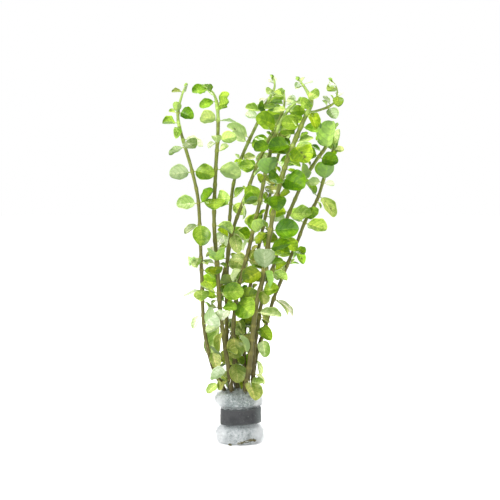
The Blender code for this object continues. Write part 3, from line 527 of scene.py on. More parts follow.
def smooth_curve(points):
    """Points about CURVE_STEP apart on a smooth curve through the given ones."""
    made = []
    last = len(points) - 1
    slopes = []
    for i in range(len(points)):
        low, high = max(i - 1, 0), min(i + 1, last)
        span = sum((points[k + 1] - points[k]).length for k in range(low, high))
        slopes.append((points[high] - points[low]) / span)
    for i in range(last):
        a, b = points[i], points[i + 1]
        span = (b - a).length
        steps = max(2, round(span / CURVE_STEP))
        for k in range(steps):
            t = k / steps
            made.append(
                a * (2 * t ** 3 - 3 * t ** 2 + 1)
                + slopes[i] * span * (t ** 3 - 2 * t ** 2 + t)
                + b * (3 * t ** 2 - 2 * t ** 3)
                + slopes[i + 1] * span * (t ** 3 - t ** 2)
            )
    made.append(points[last])
    return made


class StemLine:
    """The smooth centre line of a stem, with frames that don't twist, measured along its length."""

    def __init__(self, shoot):
        self.girth = shoot.girth
        self.points = smooth_curve([Vector(p) for p in shoot.path])
        self.lengths = [0.0]
        for a, b in zip(self.points, self.points[1:]):
            self.lengths.append(self.lengths[-1] + (b - a).length)
        self.total = self.lengths[-1]
        self.sides = self.untwisted_sides()

    def tangent(self, i):
        low, high = max(i - 1, 0), min(i + 1, len(self.points) - 1)
        return (self.points[high] - self.points[low]).normalized()

    def untwisted_sides(self):
        """A direction across the stem at each point, carried along without a twist."""
        start = self.tangent(0)
        reference = Vector((1, 0, 0)) if abs(start.x) < 0.8 else UP
        side = (reference - start * reference.dot(start)).normalized()
        sides = [side]
        for i in range(1, len(self.points)):
            along = self.tangent(i)
            side = (side - along * side.dot(along)).normalized()
            sides.append(side)
        return sides

    def index_at(self, length):
        return min(range(len(self.lengths)), key=lambda i: abs(self.lengths[i] - length))

    def length_at_height(self, height):
        """The length along the stem at a height, kept clear of the bare tip."""
        i = min(range(len(self.points)), key=lambda k: abs(self.points[k].z - height))
        return min(self.lengths[i], self.total - BARE_TIP)

    def radius(self, length):
        """The stem's radius, which tapers evenly and then faster near the tip."""
        slim = self.girth * (1 - STEM_TAPER * length / self.total)
        left = min(max((self.total - length) / STEM_TIP_LENGTH, 0), 1)
        return STEM_TIP_RADIUS + (slim - STEM_TIP_RADIUS) * left ** 0.7

    def ring(self, length, sides=SOLID_STEM_SIDES):
        """Points round the stem at this distance along it, anticlockwise seen from the tip."""
        i = self.index_at(length)
        centre, along, side = self.points[i], self.tangent(i), self.sides[i]
        across = along.cross(side)
        radius = self.radius(length)
        turns = [2 * math.pi * k / sides for k in range(sides)]
        return [centre + (side * math.cos(t) + across * math.sin(t)) * radius for t in turns]


def outline(along):
    """Half the blade's width at a share of its length, as a share of the widest."""
    return math.sin(math.pi * along ** 0.92) ** 0.62


class LeafShape:
    """One leaf's place and form. index picks its own small differences in bend, cup and width."""

    def __init__(self, leaf, index, line, length):
        self.leaf, self.size, self.index = leaf, leaf.size, index
        self.rows = SMALL_BLADE_ROWS if leaf.size < SMALL_BLADE else BLADE_ROWS
        self.bend = math.radians(BLADE_BEND_DEG + BLADE_BEND_SPREAD * vary(index, 1))
        self.cup = BLADE_CUP + BLADE_CUP_SPREAD * vary(index, 2)
        self.half_width = 0.5 * leaf.size * (BLADE_WIDTH + BLADE_WIDTH_SPREAD * vary(index, 3))
        i = line.index_at(length)
        self.centre, self.along_stem, self.stem_radius = line.points[i], line.tangent(i), line.radius(length)
        self.rise = length / line.total
        self.pose(leaf.turn, leaf.lift, leaf.face)

    def pose(self, turn, lift, face):
        """Points the leaf: axis along it, lid out of its upper side and right across it."""
        bearing = Vector((math.cos(math.radians(turn)), math.sin(math.radians(turn)), 0))
        tilt = math.radians(lift)
        self.axis = (bearing * math.cos(tilt) + UP * math.sin(tilt)).normalized()
        lid = UP - bearing * math.tan(tilt) if abs(lift) < 45 else UP / math.tan(tilt) - bearing
        lid = (lid - self.axis * lid.dot(self.axis)).normalized()
        if lid.dot(bearing * -math.sin(tilt) + UP * math.cos(tilt)) < 0:
            lid = -lid
        side = self.axis.cross(lid)
        if side.dot(FRONT) < 0:
            side = -side
        turned = math.radians(face)
        self.lid = (lid * math.cos(turned) + side * math.sin(turned)).normalized()
        self.right = self.lid.cross(self.axis)
        outward = bearing - self.along_stem * bearing.dot(self.along_stem)
        self.outward = outward.normalized() if outward.length > 0.2 else self.axis
        stalk = (self.outward + self.axis).normalized()
        stalk_length = STALK_BASE + STALK_SHARE * self.size
        self.root = self.centre + self.outward * self.stem_radius + stalk * stalk_length

    def spine(self, along):
        """(point, direction, upward) on the blade's midrib, which arches down towards the tip."""
        start = self.bend * 0.5
        reach = self.size * along
        angle = start - self.bend * along
        forward = reach * math.cos((start + angle) / 2)
        rise = reach * math.sin((start + angle) / 2)
        direction = self.axis * math.cos(angle) + self.lid * math.sin(angle)
        upward = self.lid * math.cos(angle) - self.axis * math.sin(angle)
        return self.root + self.axis * forward + self.lid * rise, direction, upward

    def row(self, along, grow):
        """The solid blade's four corners: right edge, upper midrib, left edge, lower midrib."""
        point, _, upward = self.spine(along)
        half = self.half_width * outline(along) + grow
        rise = upward * (self.cup * half)
        thick = upward * (BLADE_HALF_THICK + grow)
        sink = rise * 0.35
        return [
            point + self.right * half + rise - sink,
            point + thick - sink,
            point - self.right * half + rise - sink,
            point - thick - sink,
        ]

    def stalk_end(self, grow):
        """The four corners where the solid blade meets its stalk."""
        half = STALK_HALF_WIDTH + grow
        _, _, upward = self.spine(0)
        return [
            self.root + self.right * half,
            self.root + upward * half * 0.8,
            self.root - self.right * half,
            self.root - upward * half * 0.8,
        ]

    def body(self, grow=0.0):
        """(points, faces) of the closed solid blade, without the part of the stalk at the stem."""
        rings = [self.stalk_end(grow)] + [self.row(along, grow) for along in self.rows]
        tip, direction, _ = self.spine(1)
        points = [p for ring in rings for p in ring] + [tip + direction * grow]
        faces = [(0, 3, 2, 1)]
        for i in range(len(rings) - 1):
            for k in range(4):
                n = (k + 1) % 4
                faces.append((4 * i + k, 4 * i + n, 4 * i + 4 + n, 4 * i + 4 + k))
        last = 4 * (len(rings) - 1)
        faces += [(last + k, last + (k + 1) % 4, len(points) - 1) for k in range(4)]
        return points, faces


def tube_tree(rings, capped=False):
    """A search tree of the skin through equal rings of points."""
    sides = len(rings[0])
    points = [p for ring in rings for p in ring]
    faces = []
    for i in range(len(rings) - 1):
        for k in range(sides):
            n = (k + 1) % sides
            a = sides * i
            faces.append((a + k, a + n, a + sides + n, a + sides + k))
    if capped:
        faces.append(tuple(range(sides))[::-1])
        faces.append(tuple(range(len(points) - sides, len(points))))
    return BVHTree.FromPolygons(points, faces)


def plug_lump(turn, height):
    """How far the wool plug bulges at a bearing and height, before its girth scales it."""
    return PLUG_LUMP * (math.sin(3 * turn + 0.35 * height) + 0.6 * math.sin(5 * turn - 0.5 * height))


def solid_plug_ring(radius, height, aside):
    """A lumpy ring of the solid wool plug."""
    points = []
    for k in range(PLUG_SIDES):
        turn = 2 * math.pi * k / PLUG_SIDES
        reach = radius + plug_lump(turn, height) * (radius - PLUG_SMOOTH_RADIUS) / PLUG_LUMP_GIRTH
        points.append(Vector((aside + reach * math.cos(turn), reach * math.sin(turn), height)))
    return points


def nudges():
    """Turns and lifts to try in degrees, from none to the widest."""
    yield 0, 0
    for reach in NUDGES_DEG:
        for k in range(NUDGE_DIRECTIONS):
            angle = 2 * math.pi * k / NUDGE_DIRECTIONS
            yield reach * math.cos(angle), reach * math.sin(angle)


def settle(shapes, obstacles, placed, clearance):
    """Turns aside each leaf that would touch a stem, the wool or a placed leaf, as the solids do.

    placed holds (leaf shape, its search tree) and takes each leaf that found room.
    """
    for shape in sorted(shapes, key=lambda s: s.root.y):
        leaf = shape.leaf
        for turn, lift in nudges():
            shape.pose(leaf.turn + turn, leaf.lift + lift, leaf.face)
            tree = BVHTree.FromPolygons(*shape.body(clearance))
            if any(tree.overlap(other) for other in obstacles):
                continue
            near = [
                other for other, blade in placed
                if (other.root - shape.root).length < 1.2 * (other.size + shape.size) and tree.overlap(blade)
            ]
            if not near:
                placed.append((shape, BVHTree.FromPolygons(*shape.body())))
                break


def photo_row(point):
    """The row of the photograph in which a point shows, in pixels from its top edge."""
    away = point - READ_EYE
    return PHOTO_PIXELS / 2 - away.dot(READ_UP) * READ_DISTANCE / away.dot(READ_AHEAD) / PIXEL


def photo_point(column, row, depth):
    """The point that shows at this pixel of the photograph and lies depth behind the bunch's middle."""
    right = READ_RIGHT * ((column - PHOTO_PIXELS / 2) * PIXEL / READ_DISTANCE)
    up = READ_UP * ((PHOTO_PIXELS / 2 - row) * PIXEL / READ_DISTANCE)
    sight = READ_AHEAD + right + up
    return READ_EYE + sight * ((depth - READ_EYE.y) / sight.y)


def read_leaf(place, line):
    """(height of the joint, leaf) of a small leaf, worked out from its place in the photograph."""
    i = min(range(len(line.points)), key=lambda k: abs(photo_row(line.points[k]) - place.joint_row))
    joint, length = line.points[i], line.lengths[i]
    way = photo_point(place.tip_column, place.tip_row, joint.y) - joint
    way.y = 0
    reach = way.length / math.cos(math.radians(place.depth))
    way.y = reach * math.sin(math.radians(place.depth))
    size = (reach - line.radius(length) - STALK_BASE) / LEAF_REACH
    size = max(SMALLEST_LEAF, round(size * 2) / 2)
    turn = round(math.degrees(math.atan2(way.y, way.x)) % 360)
    lift = round(math.degrees(math.asin(way.z / way.length)))
    face, least = 0, math.inf
    for angle in FACES_DEG:
        shape = LeafShape(Leaf(turn, lift, angle, size), 0, line, length)
        off = abs(shape.lid.dot(-READ_AHEAD) - place.facing)
        if off < least - FACING_STEP:
            face, least = angle, off
    return round(joint.z * 2) / 2, Leaf(turn, lift, face, size, place.tone, place.form)


def read_leaves(lines):
    """{shoot name: {height: [leaf, ...]}} of the small leaves, from the foot up."""
    tables = {}
    for name, places in MORE_LEAVES.items():
        joints = tables.setdefault(name, {})
        for place in places:
            height, leaf = read_leaf(place, lines[name])
            joints.setdefault(height, []).append(leaf)
    return tables


def leaf_shapes(tables, lines, first_index):
    """[(shoot name, length along the stem, leaf shape), ...] of the leaves in {name: joints}."""
    planned = []
    for name, joints in tables.items():
        line = lines[name]
        for height, leaves in joints.items():
            length = line.length_at_height(height)
            for leaf in leaves:
                index = first_index + len(planned)
                planned.append((name, length, LeafShape(leaf, index, line, length)))
    return planned


def lay_out():
    """{shoot name: (stem line, [(length along the stem, leaf shape), ...])}, settled as the solids are."""
    lines = {shoot.name: StemLine(shoot) for shoot in SHOOTS}
    planned = leaf_shapes({shoot.name: shoot.joints for shoot in SHOOTS}, lines, 0)
    more = leaf_shapes(read_leaves(lines), lines, MORE_LEAVES_INDEX)
    obstacles = [
        tube_tree([line.ring(line.total * k / SETTLING_RINGS) for k in range(SETTLING_RINGS + 1)])
        for line in lines.values()
    ]
    obstacles.append(tube_tree([solid_plug_ring(*row) for row in PLUG_PROFILE], capped=True))
    placed = []
    settle([shape for _, _, shape in planned], obstacles, placed, CLEARANCE)
    settle([shape for _, _, shape in more], obstacles, placed, MORE_CLEARANCE)
    settled = {shape for shape, _ in placed}
    laid = {name: (line, []) for name, line in lines.items()}
    for name, length, shape in planned + more:
        if shape in settled:
            laid[name][1].append((length, shape))
    return laid


# Fine mesh.


class Skin:
    """Rings of points joined into closed tubes of one mesh, with named values on every point."""

    def __init__(self, numbers=(), vectors=()):
        self.points = []
        self.faces = []
        self.finishes = []
        self.widths = {**{name: 1 for name in numbers}, **{name: 3 for name in vectors}}
        self.values = {name: [] for name in self.widths}
        self.count = 0

    def add_points(self, points, values):
        """Adds points, with a value that isn't given as 0, and returns the number of the first."""
        points = np.asarray(points, dtype=float).reshape(-1, 3)
        first = self.count
        self.count += len(points)
        self.points.append(points)
        for name, width in self.widths.items():
            given = np.asarray(values.get(name, np.zeros(width)), dtype=float).reshape(-1, width)
            self.values[name].append(np.broadcast_to(given, (len(points), width)))
        return first

    def add_tube(self, rings, start, end, finish, **values):
        """Joins rings (rings, sides, 3) and closes both ends to the points start and end.

        finish is a material number or one for each side. A value is one for all points or one for
        each point of the rings, and an end point takes the middle of its ring's.
        """
        count, sides = rings.shape[:2]
        first = self.add_points(rings, values)
        foot = self.add_points([start], self.ring_values(values, rings, 0))
        tip = self.add_points([end], self.ring_values(values, rings, -1))
        side_finish = [finish] * sides if isinstance(finish, int) else list(finish)
        after = [(k + 1) % sides for k in range(sides)]
        for low in range(first, first + (count - 1) * sides, sides):
            high = low + sides
            self.faces += [(low + k, low + n, high + n, high + k) for k, n in enumerate(after)]
            self.finishes += side_finish
        last = first + (count - 1) * sides
        self.faces += [(first + n, first + k, foot) for k, n in enumerate(after)]
        self.faces += [(last + k, last + n, tip) for k, n in enumerate(after)]
        self.finishes += side_finish + side_finish

    def ring_values(self, values, rings, i):
        """The values at the middle of ring i."""
        picked = {}
        for name, value in values.items():
            value = np.asarray(value, dtype=float)
            each_point = value.shape[:2] == rings.shape[:2]
            picked[name] = value[i].mean(axis=0) if each_point else value
        return picked

    def make(self, name, materials):
        """The finished object, in metres and smooth."""
        mesh = bpy.data.meshes.new(name)
        mesh.from_pydata((np.concatenate(self.points) * MM).tolist(), [], self.faces)
        for finish in materials:
            mesh.materials.append(finish)
        mesh.polygons.foreach_set("material_index", self.finishes)
        mesh.polygons.foreach_set("use_smooth", [True] * len(self.faces))
        for value, width in self.widths.items():
            numbers = np.concatenate(self.values[value]).ravel()
            kind, field = ("FLOAT", "value") if width == 1 else ("FLOAT_VECTOR", "vector")
            mesh.attributes.new(value, kind, "POINT").data.foreach_set(field, numbers)
        mesh.update()
        return add_object(name, mesh)


def add_object(name, data):
    """A new object of the scene that holds this mesh, lamp or camera."""
    obj = bpy.data.objects.new(name, data)
    bpy.context.scene.collection.objects.link(obj)
    return obj


def smoothstep(low, high, x):
    """0 below low, 1 above high and a smooth rise between them."""
    t = np.clip((x - low) / (high - low), 0, 1)
    return t * t * (3 - 2 * t)


def tube_rings(centres, radii, sides, start_side):
    """Round rings (rings, sides, 3) on a line of centres, with frames that don't twist."""
    centres = np.asarray(centres, dtype=float)
    along = np.gradient(centres, axis=0)
    along /= np.linalg.norm(along, axis=1)[:, None]
    turns = 2 * np.pi * np.arange(sides) / sides
    side = np.asarray(start_side, dtype=float)
    rings = []
    for centre, tangent, radius in zip(centres, along, np.broadcast_to(radii, len(centres))):
        side = side - tangent * side.dot(tangent)
        side /= np.linalg.norm(side)
        across = np.cross(tangent, side)
        rings.append(centre + radius * (np.outer(np.cos(turns), side) + np.outer(np.sin(turns), across)))
    return np.array(rings)


# Places across a blade from its right edge over the upper side to its left edge, close at the midrib
# and the rim. The underside has the same places back again, without the two edges.
OVER = (1, 0.985, 0.94, 0.86, 0.75, 0.62, 0.48, 0.34, 0.2, 0.08, 0,
        -0.08, -0.2, -0.34, -0.48, -0.62, -0.75, -0.86, -0.94, -0.985, -1)
ACROSS = np.array(OVER + OVER[-2:0:-1])
UPPER = np.array([0] + [1] * (len(OVER) - 2) + [0] + [-1] * (len(OVER) - 2))

# Pairs of side veins along a blade, and how far and how bent they run towards its tip.
VEIN_PAIRS = 4.2
VEIN_ARCH = 0.38
VEIN_BEND = 1.25

# A blade's least number of rows, the most that rolling may stretch it, the rings of its stalk, the buds
# at a tip with the size of the largest, and the height of the highest tip.
LEAST_ROWS = 8
ROLL_GAIN = 1.25
STALK_RINGS = 5
BUDS = 4
BUD_SIZE = 2.4
TALLEST = 205.0


def blade_rings(shape, form, settings):
    """(rings, along, across) of the blade in millimetres, from just past the stalk to near the tip.

    side, lift and forward place each point from the stalk's end: to its right, above the blade's flat
    and along it. Each step below adds one trait: outline, cup, fold, ripples, veins, skin, twist, arch.
    """
    chance = np.random.RandomState(shape.index + 11)
    phase = chance.uniform(0, 2 * np.pi, 6)
    rows = settings.rows if shape.size > SMALL_BLADE else max(LEAST_ROWS, settings.rows * 2 // 3)
    along = (0.5 - 0.5 * np.cos(np.pi * (np.arange(rows) + 0.6) / rows))[:, None]
    across = ACROSS[None, :]
    wide = abs(across)
    left = np.sign(across)

    width = shape.half_width * form.narrow * np.sin(np.pi * along ** 0.96) ** 0.52
    width = width * (1 + 0.03 * left * np.sin(2.1 * along + phase[0]))
    width = width * (1 + 0.018 * np.sin(9 * along + phase[1] + left))
    half = np.sqrt(width ** 2 + (STALK_HALF_WIDTH * 0.8) ** 2 * (1 - along))

    curve = 2 * shape.cup + (form.roll + 0.22 * chance.rand()) * smoothstep(0, 0.3, along)
    turned = curve * across
    half = half * np.minimum(curve / np.sin(curve), ROLL_GAIN)
    side = half * np.sin(turned) / curve
    lift = half * ((1 - np.cos(turned)) / curve - 0.35 * shape.cup)
    fold = (form.fold + 0.3 * chance.rand() ** 2) * smoothstep(0, 0.25, along)
    side = side / np.sqrt(1 + fold ** 2)
    lift = lift + half * fold * (np.sqrt(across ** 2 + 0.02) - 0.14) / np.sqrt(1 + fold ** 2)

    wave = form.wave * chance.uniform(0.8, 1.7)
    ripple = 0.05 * wave * np.sin(2 * np.pi * (1.9 + 0.5 * chance.rand()) * along + phase[2] + 2.1 * left)
    ripple = ripple * wide ** 3 + 0.03 * wave * np.sin(5 * along + phase[3]) * across
    lift = lift + half * ripple

    vein = (0.5 + 0.5 * np.cos(2 * np.pi * VEIN_PAIRS * (along - VEIN_ARCH * wide ** VEIN_BEND))) ** 3
    vein = vein * smoothstep(1.0, 0.7, wide) * smoothstep(0.02, 0.12, along) * smoothstep(0.98, 0.8, along)
    midrib = np.exp(-((across * half / 0.45) ** 2)) * smoothstep(1.0, 0.75, along)
    depth = settings.vein_depth / MM * min(1, shape.size / 10)
    relief = -depth * (0.7 * vein + 1.8 * midrib)

    thick = settings.thickness / MM * (1 + 0.9 * (1 - along) ** 6) * (1 - wide ** 2) ** 0.4
    ribbed = UPPER * thick / 2 - (UPPER < 0) * depth * 1.5 * midrib
    raised = relief + ribbed
    side = side - np.sin(turned) * raised
    lift = lift + np.cos(turned) * raised

    twist = form.twist * (along - 0.15) + 0.12 * np.sin(phase[4]) * along
    side, lift = side * np.cos(twist) - lift * np.sin(twist), side * np.sin(twist) + lift * np.cos(twist)

    start = shape.bend * 0.5
    angle = start - shape.bend * along
    reach = shape.size * along
    droop = form.hook * np.clip(along - 0.5, 0, 1) ** 2 * 2
    forward = reach * np.cos((start + angle) / 2) - shape.size * droop * 0.35
    rise = reach * np.sin((start + angle) / 2) - shape.size * droop
    axis, lid, right = np.array(shape.axis), np.array(shape.lid), np.array(shape.right)
    upward = lid * np.cos(angle)[..., None] - axis * np.sin(angle)[..., None]
    rings = (
        np.array(shape.root)
        + axis * forward[..., None]
        + lid * rise[..., None]
        + right * side[..., None]
        + upward * lift[..., None]
    )
    return rings, np.broadcast_to(along, side.shape), np.broadcast_to(across, side.shape)


def stalk_rings(shape, first_blade_ring):
    """Rings of the leaf's stalk, from inside the stem to the blade, with the blade's own sides."""
    centre, root = np.array(shape.centre), np.array(shape.root)
    skin = centre + np.array(shape.outward) * shape.stem_radius * 0.7
    along_stem = np.array(shape.along_stem)
    high = UPPER * np.sqrt(1 - ACROSS ** 2)
    right, lid = np.array(shape.right), np.array(shape.lid)
    rings = []
    for i in range(STALK_RINGS):
        t = i / STALK_RINGS
        middle = skin * (1 - t) + root * t - along_stem * 0.35 * math.sin(math.pi * t)
        flare = 1 + 0.8 * (1 - t) ** 3
        half = STALK_HALF_WIDTH * 0.85 * flare
        rings.append(middle + np.outer(ACROSS * half, right) + np.outer(high * half * 0.75, lid))
    blend = 0.5 * (rings[-1] + first_blade_ring)
    return np.array(rings[:-1] + [0.7 * rings[-1] + 0.3 * blend])


def add_leaf(skin, shape, tint, age, settings):
    """One closed leaf on its stalk: finish 1 above and 2 below."""
    blade, along, across = blade_rings(shape, FORMS[shape.leaf.form], settings)
    stalk = stalk_rings(shape, blade[0])
    rings = np.concatenate([stalk, blade])
    along = np.concatenate([np.full(stalk.shape[:2], -0.1), along])
    across = np.concatenate([np.zeros(stalk.shape[:2]), across])
    beneath = len(OVER) - 1
    finish = [1] * beneath + [2] * beneath
    tip = blade[-1].mean(axis=0) + (blade[-1] - blade[-2]).mean(axis=0) * 0.8
    # Painted light and shade: one half of the blade is painted lit and the other shaded, with a painted
    # gradient along it.
    lean = 3.0 * vary(shape.index, 9)
    painted_half_light = 0.28 * (1 if vary(shape.index, 10) > 0 else -1) * np.tanh(6 * across)
    sunny = 0.5 + painted_half_light + 0.34 * np.sin(2.6 * along + lean)
    wound = np.zeros(along.shape)
    for spot_along, spot_across, radius in FORMS[shape.leaf.form].spots:
        away = np.hypot((along - spot_along) * shape.size, (across - spot_across) * shape.half_width)
        wound = np.maximum(wound, smoothstep(radius * 1.3, radius * 0.5, away))
    skin.add_tube(
        rings, stalk[0].mean(axis=0), tip, finish,
        blade_along=along, blade_across=across, sunny=sunny, wound=wound, tint=tint, age=age,
    )


def bare_joints(line, leaf_joints, spacing):
    """Lengths of the joints below the leaves, whose own leaves have long fallen off."""
    start = line.length_at_height(PLUG_TOP + 6) if line.points[0].z < PLUG_TOP else 0.0
    kept = sorted(leaf_joints)
    made = []
    length = start
    while length < line.total - STEM_TIP_LENGTH:
        if all(abs(length - other) > spacing * 0.55 for other in kept + made):
            made.append(length)
        length += 1.0
    return made


def add_stem(skin, line, joints, tint, settings):
    """The stem's skin: ribbed, swollen at each joint and drawn out to a fine tip. Finish 0."""
    centres = [np.array(p) for p in line.points[::2]] + [np.array(line.points[-1])]
    lengths = np.array(line.lengths[::2] + [line.total])
    if lengths[-1] - lengths[-2] < 0.05:
        centres, lengths = centres[:-1], lengths[:-1]
    radii = np.array([line.radius(length) for length in lengths])
    near = np.zeros(len(lengths))
    for joint in joints:
        swell = np.exp(-(((lengths - joint) / 1.0) ** 2))
        waist = np.exp(-(((lengths - joint - 2.6) / 1.6) ** 2))
        slim = min(1, (line.total - joint) / STEM_TIP_LENGTH)
        radii *= 1 + slim * (settings.joint_swell * swell - 0.05 * waist)
        near = np.maximum(near, np.exp(-(((lengths - joint) / 0.55) ** 2)))
    sides = settings.sides
    rings = tube_rings(centres, radii, sides, line.sides[0])
    turns = 2 * np.pi * np.arange(sides) / sides
    spin = 0.035 * lengths[:, None]
    rib = settings.rib_depth * (np.cos(4 * turns + spin) + 0.5 * np.cos(7 * turns - 1.7 * spin))
    middle = np.array(centres)[:, None, :]
    rings = middle + (rings - middle) * (1 + rib)[..., None]
    grain = np.stack(
        [
            np.broadcast_to(np.cos(turns), rib.shape),
            np.broadcast_to(np.sin(turns), rib.shape),
            np.broadcast_to(lengths[:, None] * 0.05, rib.shape),
        ],
        axis=-1,
    )
    heights = np.array([centre[2] for centre in centres])
    rise = np.broadcast_to((heights / TALLEST)[:, None], rib.shape)
    skin.add_tube(
        rings, rings[0].mean(axis=0), np.array(line.points[-1]) + np.array(line.tangent(-1)) * 0.3, 0,
        stem_rise=rise, stem_joint=np.broadcast_to(near[:, None], rib.shape), grain=grain, tint=tint,
    )


def add_buds(skin, line, index, tint, settings):
    """The crown of tiny leaves, still half closed, round the tip of a stem."""
    tangent = Vector(line.tangent(len(line.points) - 1))
    bearing = math.degrees(math.atan2(tangent.y, tangent.x))
    climb = math.degrees(math.asin(max(-1, min(1, tangent.z))))
    for k in range(BUDS):
        size = BUD_SIZE - 0.45 * k
        spread = 34 - 7 * k
        turn = bearing + (spread if k % 2 else -spread) + 12 * vary(index + k, 4)
        lift = climb + 12 * vary(index + k, 5) + (10 if k < 2 else 0)
        length = line.total - 0.9 + 0.25 * k
        leaf = Leaf(turn, max(-70, min(lift, 80)), 25 * vary(index + k, 6), size, "lime", "bowl")
        shape = LeafShape(leaf, BUDS_INDEX + 7 * index + k, line, length)
        add_leaf(skin, shape, tint, 0.0, settings)


def build_shoot(name, number, line, leaves, stems, blades, materials):
    """One dressed shoot: its stem, its leaves and the buds at its tip in one mesh."""
    skin = Skin(
        numbers=("stem_rise", "stem_joint", "blade_along", "blade_across", "sunny", "wound", "age"),
        vectors=("grain", "tint"),
    )
    joints = sorted({length for length, _ in leaves})
    joints += bare_joints(line, joints, stems.joint_spacing / MM)
    add_stem(skin, line, joints, np.array(stems.high_colour), stems)
    for _, shape in leaves:
        tone = np.array(getattr(blades, shape.leaf.tone))
        tone = tone * (1 + 0.10 * vary(shape.index, 7)) * np.array([1 + 0.06 * vary(shape.index, 8), 1, 1])
        add_leaf(skin, shape, tone, 1 - shape.rise, blades)
    add_buds(skin, line, number, np.array(blades.bright), blades)
    return skin.make(name + "_dressed", materials)


WOOL_ROWS = 84
WOOL_SIDES = 150
FIBRE_STEPS = 7

# The wool's way from the rim of its foot to its crown, and each corner's share of that way.
WOOL_CORNERS = np.array(PLUG_PROFILE + [(3.6, 29.2, -0.3), (0.0, 29.5, -0.3)])
WOOL_SHARES = np.cumsum([0.0, *np.linalg.norm(np.diff(WOOL_CORNERS[:, :2], axis=0), axis=1)])
WOOL_SHARES /= WOOL_SHARES[-1]


def wool_point(share, turn, out=0.0):
    """A point of the wool's lumpy skin and its outward direction."""
    corners, shares = WOOL_CORNERS, WOOL_SHARES
    radius, height, aside = (np.interp(share, shares, corners[:, i]) for i in range(3))
    ahead, behind = min(share + 0.02, 1), max(share - 0.02, 0)
    rise = np.interp(ahead, shares, corners[:, 1]) - np.interp(behind, shares, corners[:, 1])
    run = np.interp(ahead, shares, corners[:, 0]) - np.interp(behind, shares, corners[:, 0])
    slope = math.hypot(rise, run) or 1.0
    round_ = np.array([math.cos(turn), math.sin(turn), 0.0])
    outward = round_ * rise / slope + np.array([0, 0, -run / slope])
    reach = radius + plug_lump(turn, height) * max(radius - PLUG_SMOOTH_RADIUS, 0) / PLUG_LUMP_GIRTH
    point = np.array([aside, 0, height]) + round_ * reach
    return point + outward * out, outward


def build_wool(wool, materials):
    """The wool's body, clumped by noise."""
    skin = Skin(numbers=("deep",))
    rings = np.zeros((WOOL_ROWS, WOOL_SIDES, 3))
    deep = np.zeros((WOOL_ROWS, WOOL_SIDES))
    for i in range(WOOL_ROWS):
        share = 0.995 * i / (WOOL_ROWS - 1)
        for k in range(WOOL_SIDES):
            turn = 2 * math.pi * k / WOOL_SIDES
            point, outward = wool_point(share, turn)
            spot = Vector(point)
            clump = noise.fractal(spot * 0.35, 0.6, 2.2, 3) * wool.clump / MM
            tuft = abs(noise.fractal(spot * 1.1 + UP * 40, 0.7, 2.3, 3)) * wool.tuft / MM
            held = smoothstep(0.0, 1.2, point[2]) * (1 - 0.75 * in_waist(point[2]))
            moved = point + outward * (clump * 0.6 + tuft - 0.35) * held
            moved[2] = max(moved[2], 0.0)
            rings[i, k] = moved
            # deep is painted shade: darker where the clumps and tufts leave hollows.
            deep[i, k] = np.clip(0.5 - clump * 0.6 - tuft * 1.4, 0, 1)
    top = wool_point(1.0, 0.0)[0]
    foot = rings[0].mean(axis=0)
    skin.add_tube(rings, foot, top, 0, deep=deep)
    return skin.make("wool_body", materials[:1])


def in_waist(height):
    """1 under the strip and 0 clear of it."""
    low, high = STRIP_MIDDLE - STRIP_WIDTH / 2, STRIP_MIDDLE + STRIP_WIDTH / 2
    return float(smoothstep(low - 1.2, low + 0.3, height) * smoothstep(high + 1.2, high - 0.3, height))


def build_fibres(wool, materials):
    """Loose fibres that curl over the wool's skin, each a fine closed tube."""
    skin = Skin(numbers=("deep",))
    chance = np.random.RandomState(5)
    made = 0
    while made < wool.fibres:
        share, turn = chance.uniform(0.0, 0.97), chance.uniform(0, 2 * np.pi)
        start, outward = wool_point(share, turn, -0.25)
        if chance.rand() < 0.92 * in_waist(start[2]):
            continue
        made += 1
        add_fibre(skin, start, outward, chance, wool)
    return skin.make("wool_fibres", materials[1:])


def add_fibre(skin, start, outward, chance, wool):
    """One loose fibre that arches off the wool's skin, sways and comes back to it."""
    length = chance.uniform(1.8, 5.2)
    stand = chance.uniform(0.1, 1.0) ** 1.6 * wool.fuzz / MM
    heading = np.cross(outward, chance.normal(size=3))
    heading /= np.linalg.norm(heading)
    swerve = np.cross(outward, heading) * chance.uniform(-1, 1)
    points = []
    for i in range(FIBRE_STEPS + 1):
        t = i / FIBRE_STEPS
        arch = math.sin(math.pi * min(1, t * chance.uniform(0.96, 1.0))) * stand
        along = heading * length * (t - 0.5) + swerve * length * 0.9 * (t - 0.5) ** 2
        sink = -outward * (length * (t - 0.5)) ** 2 / 26
        jitter = chance.normal(size=3) * 0.06
        point = start + outward * (arch + 0.12) + along + sink + jitter
        point[2] = max(point[2], 0.1)
        points.append(point)
    radius = chance.uniform(0.5, 1.0) * wool.fibre_radius / MM
    radii = radius * np.array([0.4] + [1.0] * (FIBRE_STEPS - 1) + [0.3])
    rings = tube_rings(points, radii, 3, chance.normal(size=3))
    shade = chance.uniform(0, 1)
    skin.add_tube(rings, points[0], points[-1], 0, deep=shade)


STRIP_STEPS = 300
STRIP_LEVELS = 17
STRIP_BEAD = 0.16


def strip_section():
    """[(outward, upward), ...] round the ribbon's cut, up its outer face, with rounded edges."""
    half, thick = STRIP_WIDTH / 2, STRIP_THICK / 2
    levels = np.linspace(-half + STRIP_BEAD, half - STRIP_BEAD, STRIP_LEVELS)
    shoulder, brink = thick - STRIP_BEAD * 0.5, half - STRIP_BEAD * 0.15
    section = [(thick, z) for z in levels] + [(shoulder, brink), (0, half), (-shoulder, brink)]
    section += [(-thick, z) for z in levels[::-1]] + [(-shoulder, -brink), (0, -half), (shoulder, -brink)]
    return section


